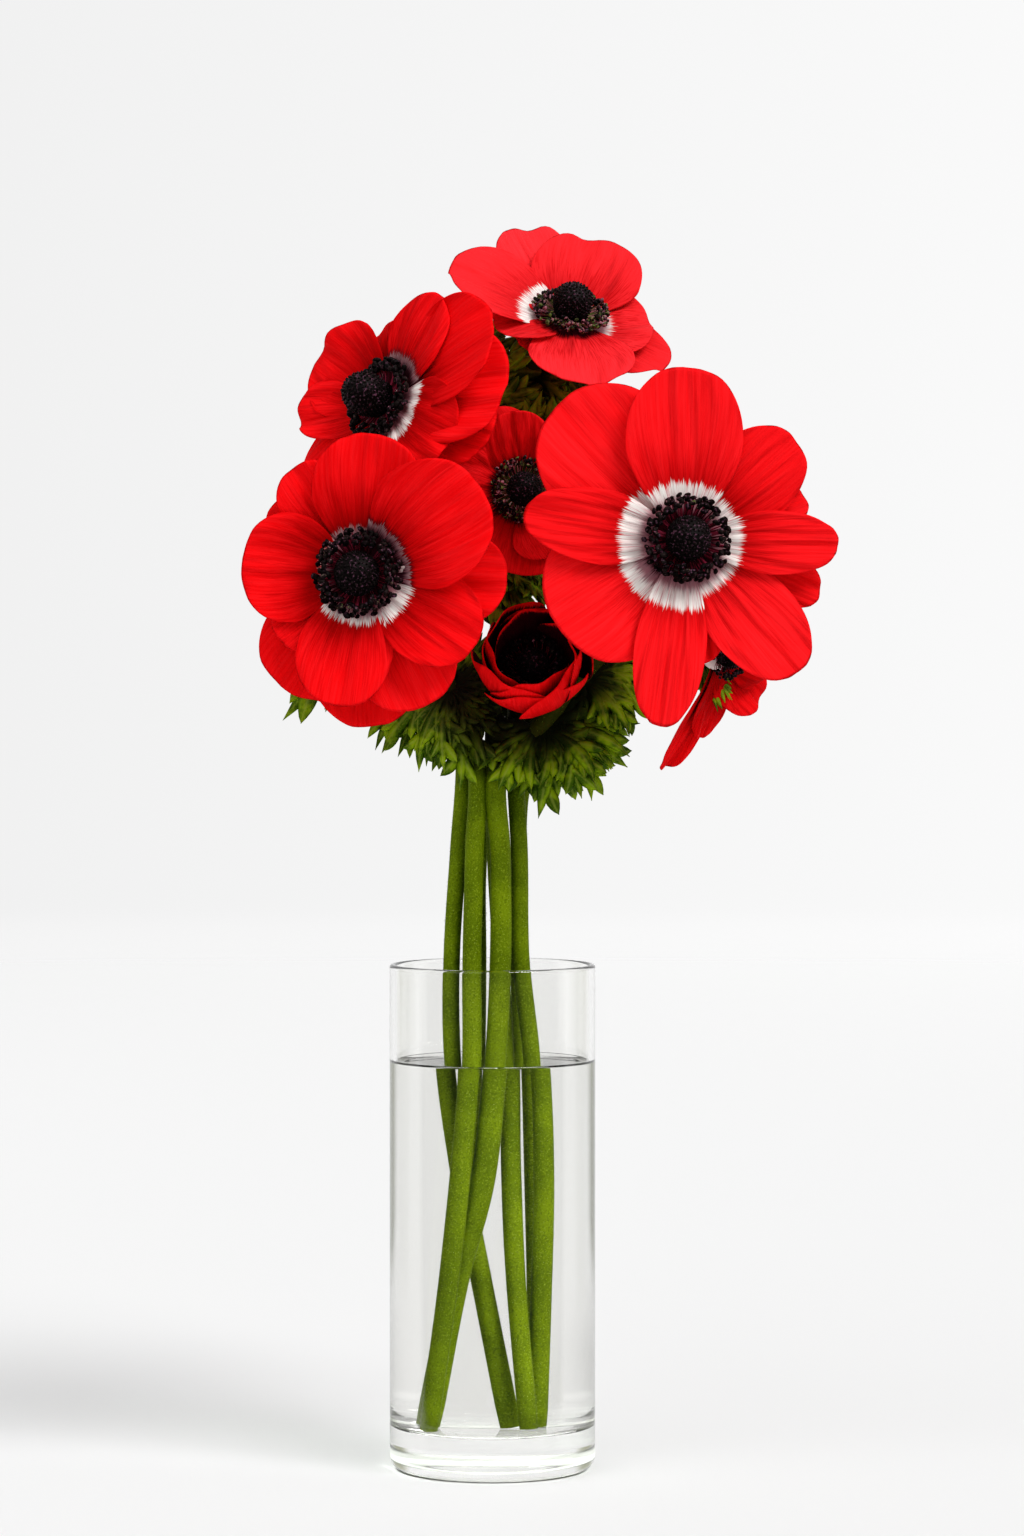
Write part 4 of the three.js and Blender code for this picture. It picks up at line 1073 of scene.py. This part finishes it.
# %% Make the stems and leaves
GREEN, FUZZ = green_material(), hair_material()
LAYERS = [(1, (0, 0, 0), 1.0), (2, (3, 3, 5), 0.85), (3, (7, 11, 2), 1.0)]
FILLERS = {
    "middle": [[8, [-10, 4, 306], [-3, 0, 0], 0.9, 41], [8, [25, 6, 320], [3, 0, 0], 0.9, 42]],
    "cup": [[8, [-6, 12, 284], [0, 2, 2], 0.9, 43]],
}
for index, flower in enumerate(FLOWERS):
    name = flower["name"] + "_stem"
    parts = [stem_part(flower)]
    parts += [leaf_part(flower, leaf, layer) for leaf in flower["leaves"] for layer in LAYERS]
    parts += [leaf_part(flower, leaf, LAYERS[0]) for leaf in FILLERS.get(flower["name"], [])]
    make_piece(name + "_fine", parts, GREEN, name)
    make_piece(name + "_hairs", hairs(flower, 80 + index), FUZZ, name)

# %% [markdown]
# ## Glass and water
#
# The vase is turned from one closed profile: up the outside, over the fire-polished rim, down the
# inside and across the thick floor. The water is turned too, with a meniscus where it climbs the glass.
# Its skin lies a hair inside the glass, so that a ray goes from glass to water with no air between.
# A ring set close beside each arc keeps the arc's shading off the flat stretch that follows it, which in
# clear glass would bend the view through the whole wall.

# %% Turned shapes
VASE_RADIUS, VASE_HEIGHT, WALL, WATER_TOP = 38.2, 187.5, 2.4, 151
BOTTOM_ROUND, FLOOR_ROUND = 5, 4
ROUND_STEPS = 160
SUNK = 0.12
BESIDE = 0.3
ARC_STEPS = 13
CLIMB, CLIMB_FADE = 1.25, 1.1
MENISCUS = np.array([0, 0.25, 0.6, 1.1, 1.8, 2.8, 4.2, 6.5])


def arc(x, z, r, start, end, steps=ARC_STEPS):
    """Points of an arc round (x, z) from one angle to another, in degrees."""
    a = np.radians(np.linspace(start, end, steps))
    return np.stack([x + r * np.cos(a), z + r * np.sin(a)], axis=-1)


def upright(x, heights):
    """Points of a straight wall at one radius."""
    return np.stack([np.full(len(heights), x), heights], axis=-1)


def turned(profile):
    """A closed surface of revolution; the profile starts and ends near the axis."""
    radius, height = profile.T
    points, faces = revolved(np.maximum(radius, 0.001), height, ROUND_STEPS)
    return points, faces, {}


def vase_profile():
    """The glass: a flat foot, straight outside, round rim, straight inside, flat floor with a round
    corner."""
    inside = VASE_RADIUS - WALL
    rim = WALL / 2
    top = VASE_HEIGHT - rim
    outer = np.concatenate([[BOTTOM_ROUND + BESIDE], np.linspace(24, 170, 9), [top - BESIDE]])
    inner = np.concatenate([[top - BESIDE], np.linspace(170, 40, 8), [BASE + FLOOR_ROUND + BESIDE]])
    return np.vstack([
        [[0, 0.25], [20, 0.25], [32.2, 0.2], [32.8, 0.05]],
        arc(VASE_RADIUS - BOTTOM_ROUND, BOTTOM_ROUND, BOTTOM_ROUND, -90, 0, 15),
        upright(VASE_RADIUS, outer),
        arc(VASE_RADIUS - rim, top, rim, 0, 180),
        upright(inside, inner),
        arc(inside - FLOOR_ROUND, BASE + FLOOR_ROUND, FLOOR_ROUND, 0, -90),
        [[inside - FLOOR_ROUND - BESIDE, BASE], [22, BASE], [10, BASE + 0.02], [0, BASE + 0.02]],
    ])


def water_profile():
    """The water: the floor's shape, then the wall, then the meniscus down to the level top."""
    r = VASE_RADIUS - WALL + SUNK
    low = BASE - SUNK
    wall = np.array([low + FLOOR_ROUND + BESIDE, 60, 110, WATER_TOP, WATER_TOP + 1.0])
    return np.vstack([
        [[0, low], [10, low], [22, low], [r - FLOOR_ROUND - BESIDE, low]],
        arc(r - FLOOR_ROUND, low + FLOOR_ROUND, FLOOR_ROUND, -90, 0),
        upright(r, wall),
        np.stack([r - MENISCUS, WATER_TOP + CLIMB * np.exp(-MENISCUS / CLIMB_FADE)], axis=-1),
        [[14, WATER_TOP], [0, WATER_TOP]],
    ])


# %% Glass and water finish
# The foot's pale matt ring is painted light and its dark line painted shade.
FOOT_FROM = 0.0326, 0.0330
FOOT_PAINTED_LIGHT, FOOT_PAINTED_SHADE = (0.85, 0.86, 0.82), (0.16, 0.18, 0.10)


def clear_material(name, tint, ior, painted_foot=False):
    """A smooth clear body that bends light by its index; lamps shine through it without a hard shadow.
    Where
    asked, it is matt round its foot: pale at the front and back, a painted light, with a dark green line
    at the very edge to the sides, a painted shade."""
    m = Finish(name, {"Base Color": tint, "Roughness": 0.0, "IOR": ior, "Transmission Weight": 1.0})
    passing = m.add("ShaderNodeBsdfTransparent", {0: (0.97, 0.98, 0.97)}).outputs[0]
    shadow = m.add("ShaderNodeLightPath").outputs["Is Shadow Ray"]
    surface = m.mix_shaders(shadow, m.shader.outputs[0], passing)
    if painted_foot:
        x, y, z = m.split(m.place())
        radius = m.math("SQRT", m.plus(m.times(x, x), m.times(y, y)))
        aside = m.math("ABSOLUTE", x)
        # Painted light and shade on the foot: a pale matt ring stands in for the light seen through it, a
        # dark line at its edge to the sides for shade.
        edge = m.step(z, 0.0009, 0.0005)
        shade_line = m.times(edge, m.step(aside, 0.008, 0.030))
        matt = m.add("ShaderNodeBsdfDiffuse", {"Color": m.mix(shade_line, FOOT_PAINTED_LIGHT, FOOT_PAINTED_SHADE)}).outputs[0]
        pale = m.times(m.step(z, 0.0030, 0.0014), m.step(aside, 0.030, 0.020, 0.0, 0.7))
        share = m.times(m.math("MAXIMUM", pale, edge), m.step(radius, *FOOT_FROM))
        surface = m.mix_shaders(share, surface, matt)
    m.surface(surface)
    return m.material


GLASS = clear_material("glass", (0.996, 0.996, 0.984), 1.5, painted_foot=True)
WATER = clear_material("water", (0.995, 0.995, 0.990), 1.33)
make_piece("vase_fine", [turned(vase_profile())], GLASS, "vase")
make_piece("water_fine", [turned(water_profile())], WATER, "water")

# %% [markdown]
# ## Studio
#
# A pale floor that fades into an even pale surround leaves no horizon. A large soft key lamp from the
# upper right shapes the petals, a weaker one fills from the left, and the surround lights the shadows.
# Clear glass shows by what its edges bend into view. So floor and surround have dark boards out to both
# sides, which the camera never sees, and the side of the room behind the camera is dark for mirrored
# rays. Last, a tone curve takes the deepest shadows down a little.

# %% Floor
FLOOR_RADIUS = 9.0
FLOOR_SIDES = 96
FADE = 1.0, 4.0
BOARDS = 0.35, 0.60
SLANT_RISE, SLANT_FALL = (0.83, 1.33), (3.4, 1.85)
BEHIND = -0.03, -0.06
FLOOR_PALE, FLOOR_BOARD, FLOOR_MIRRORED = (0.86, 0.86, 0.86), (0.20, 0.21, 0.14), (0.04, 0.04, 0.04)


def floor_material():
    """A plain pale floor that turns clear with distance, so that it has no edge. Rays bent far aside by
    the vase's edges see it dark there, as if dark boards stood out of the picture, and so do rays that
    the glass throws back towards the camera's dark side of the room."""
    m = Finish("floor", {"Roughness": 0.9, "Specular IOR Level": 0.1})
    x, y, _ = m.split(m.place())
    aside = m.math("ABSOLUTE", x)
    slant = m.math("DIVIDE", aside, m.math("MAXIMUM", y, 0.01))
    boards = m.times(m.step(slant, *SLANT_RISE), m.step(slant, *SLANT_FALL))
    boards = m.times(boards, m.step(aside, *BOARDS))
    paths = m.add("ShaderNodeLightPath").outputs
    colour = m.mix(m.times(boards, paths["Is Transmission Ray"]), FLOOR_PALE, FLOOR_BOARD)
    thrown = m.times(m.step(y, *BEHIND), m.math("GREATER_THAN", paths["Glossy Depth"], 0.5))
    m.put(m.shader, {"Base Color": m.mix(thrown, colour, FLOOR_MIRRORED)})
    clear = m.add("ShaderNodeBsdfTransparent").outputs[0]
    far = m.step(m.vectors("LENGTH", m.place()), *FADE)
    m.surface(m.mix_shaders(far, m.shader.outputs[0], clear))
    return m.material


bpy.ops.mesh.primitive_circle_add(vertices=FLOOR_SIDES, radius=FLOOR_RADIUS, fill_type="NGON")
floor = bpy.context.object
floor.name = "floor"
floor.data.materials.append(floor_material())

# %% Surround
AMBIENT = (0.42, 0.42, 0.42)
SIDE_DARK = (0.34, 0.35, 0.23)
SIDE_RISE, SIDE_FALL = (0.64, 0.80), (0.88, 0.96)
LEFT_LEVEL, RIGHT_LEVEL = 0.88, 0.95
MIRRORED = 0.10

world = bpy.data.worlds.new("studio")
bpy.context.scene.world = world
w = Tree(world)
x, y, _ = w.split(w.add("ShaderNodeTexCoord").outputs["Generated"])
paths = w.add("ShaderNodeLightPath").outputs
level = w.step(x, -0.1, 0.1, LEFT_LEVEL, RIGHT_LEVEL, kind="LINEAR")
aside = w.math("ABSOLUTE", x)
boards = w.times(w.step(aside, *SIDE_RISE), w.step(aside, *SIDE_FALL, 1.0, 0.0))
boards = w.times(boards, w.step(y, 0.0, 0.15, kind="LINEAR"))
boards = w.times(boards, w.minus(1.0, paths["Is Camera Ray"]))
thrown = w.math("GREATER_THAN", paths["Glossy Depth"], 0.5)
soft = w.math("GREATER_THAN", paths["Diffuse Depth"], 0.5)
front = w.step(y, -0.2, 0.0, MIRRORED, 1.0, kind="LINEAR")
strength = w.mix_numbers(soft, w.mix_numbers(thrown, 1.0, front), 1.0)
colour = w.mix(soft, w.mix(boards, level, SIDE_DARK), AMBIENT)
w.put(w.nodes["Background"], {"Color": colour, "Strength": strength})

# %% Key and fill light
LAMPS = {"key": (45, 47, 2.35, 30), "fill": (-38, 35, 0.62, 60)}
for name, (azimuth, height, energy, spread) in LAMPS.items():
    sun = bpy.data.lights.new(name, "SUN")
    sun.energy = energy
    sun.angle = math.radians(spread)
    lamp = bpy.data.objects.new(name, sun)
    lamp.location = (math.sin(math.radians(azimuth)), -1, 1.5)
    lamp.rotation_euler = (math.radians(90 - height), 0, math.radians(azimuth))
    bpy.context.scene.collection.objects.link(lamp)

# %% Picture tones
TOE = [(0.005, 0.002), (0.02, 0.012), (0.06, 0.050), (0.2, 0.196), (0.6, 0.6)]
view = bpy.context.scene.view_settings
view.view_transform = "Standard"
view.use_curve_mapping = True
tones = view.curve_mapping.curves[3]
for place in TOE:
    tones.points.new(*place)
view.curve_mapping.update()
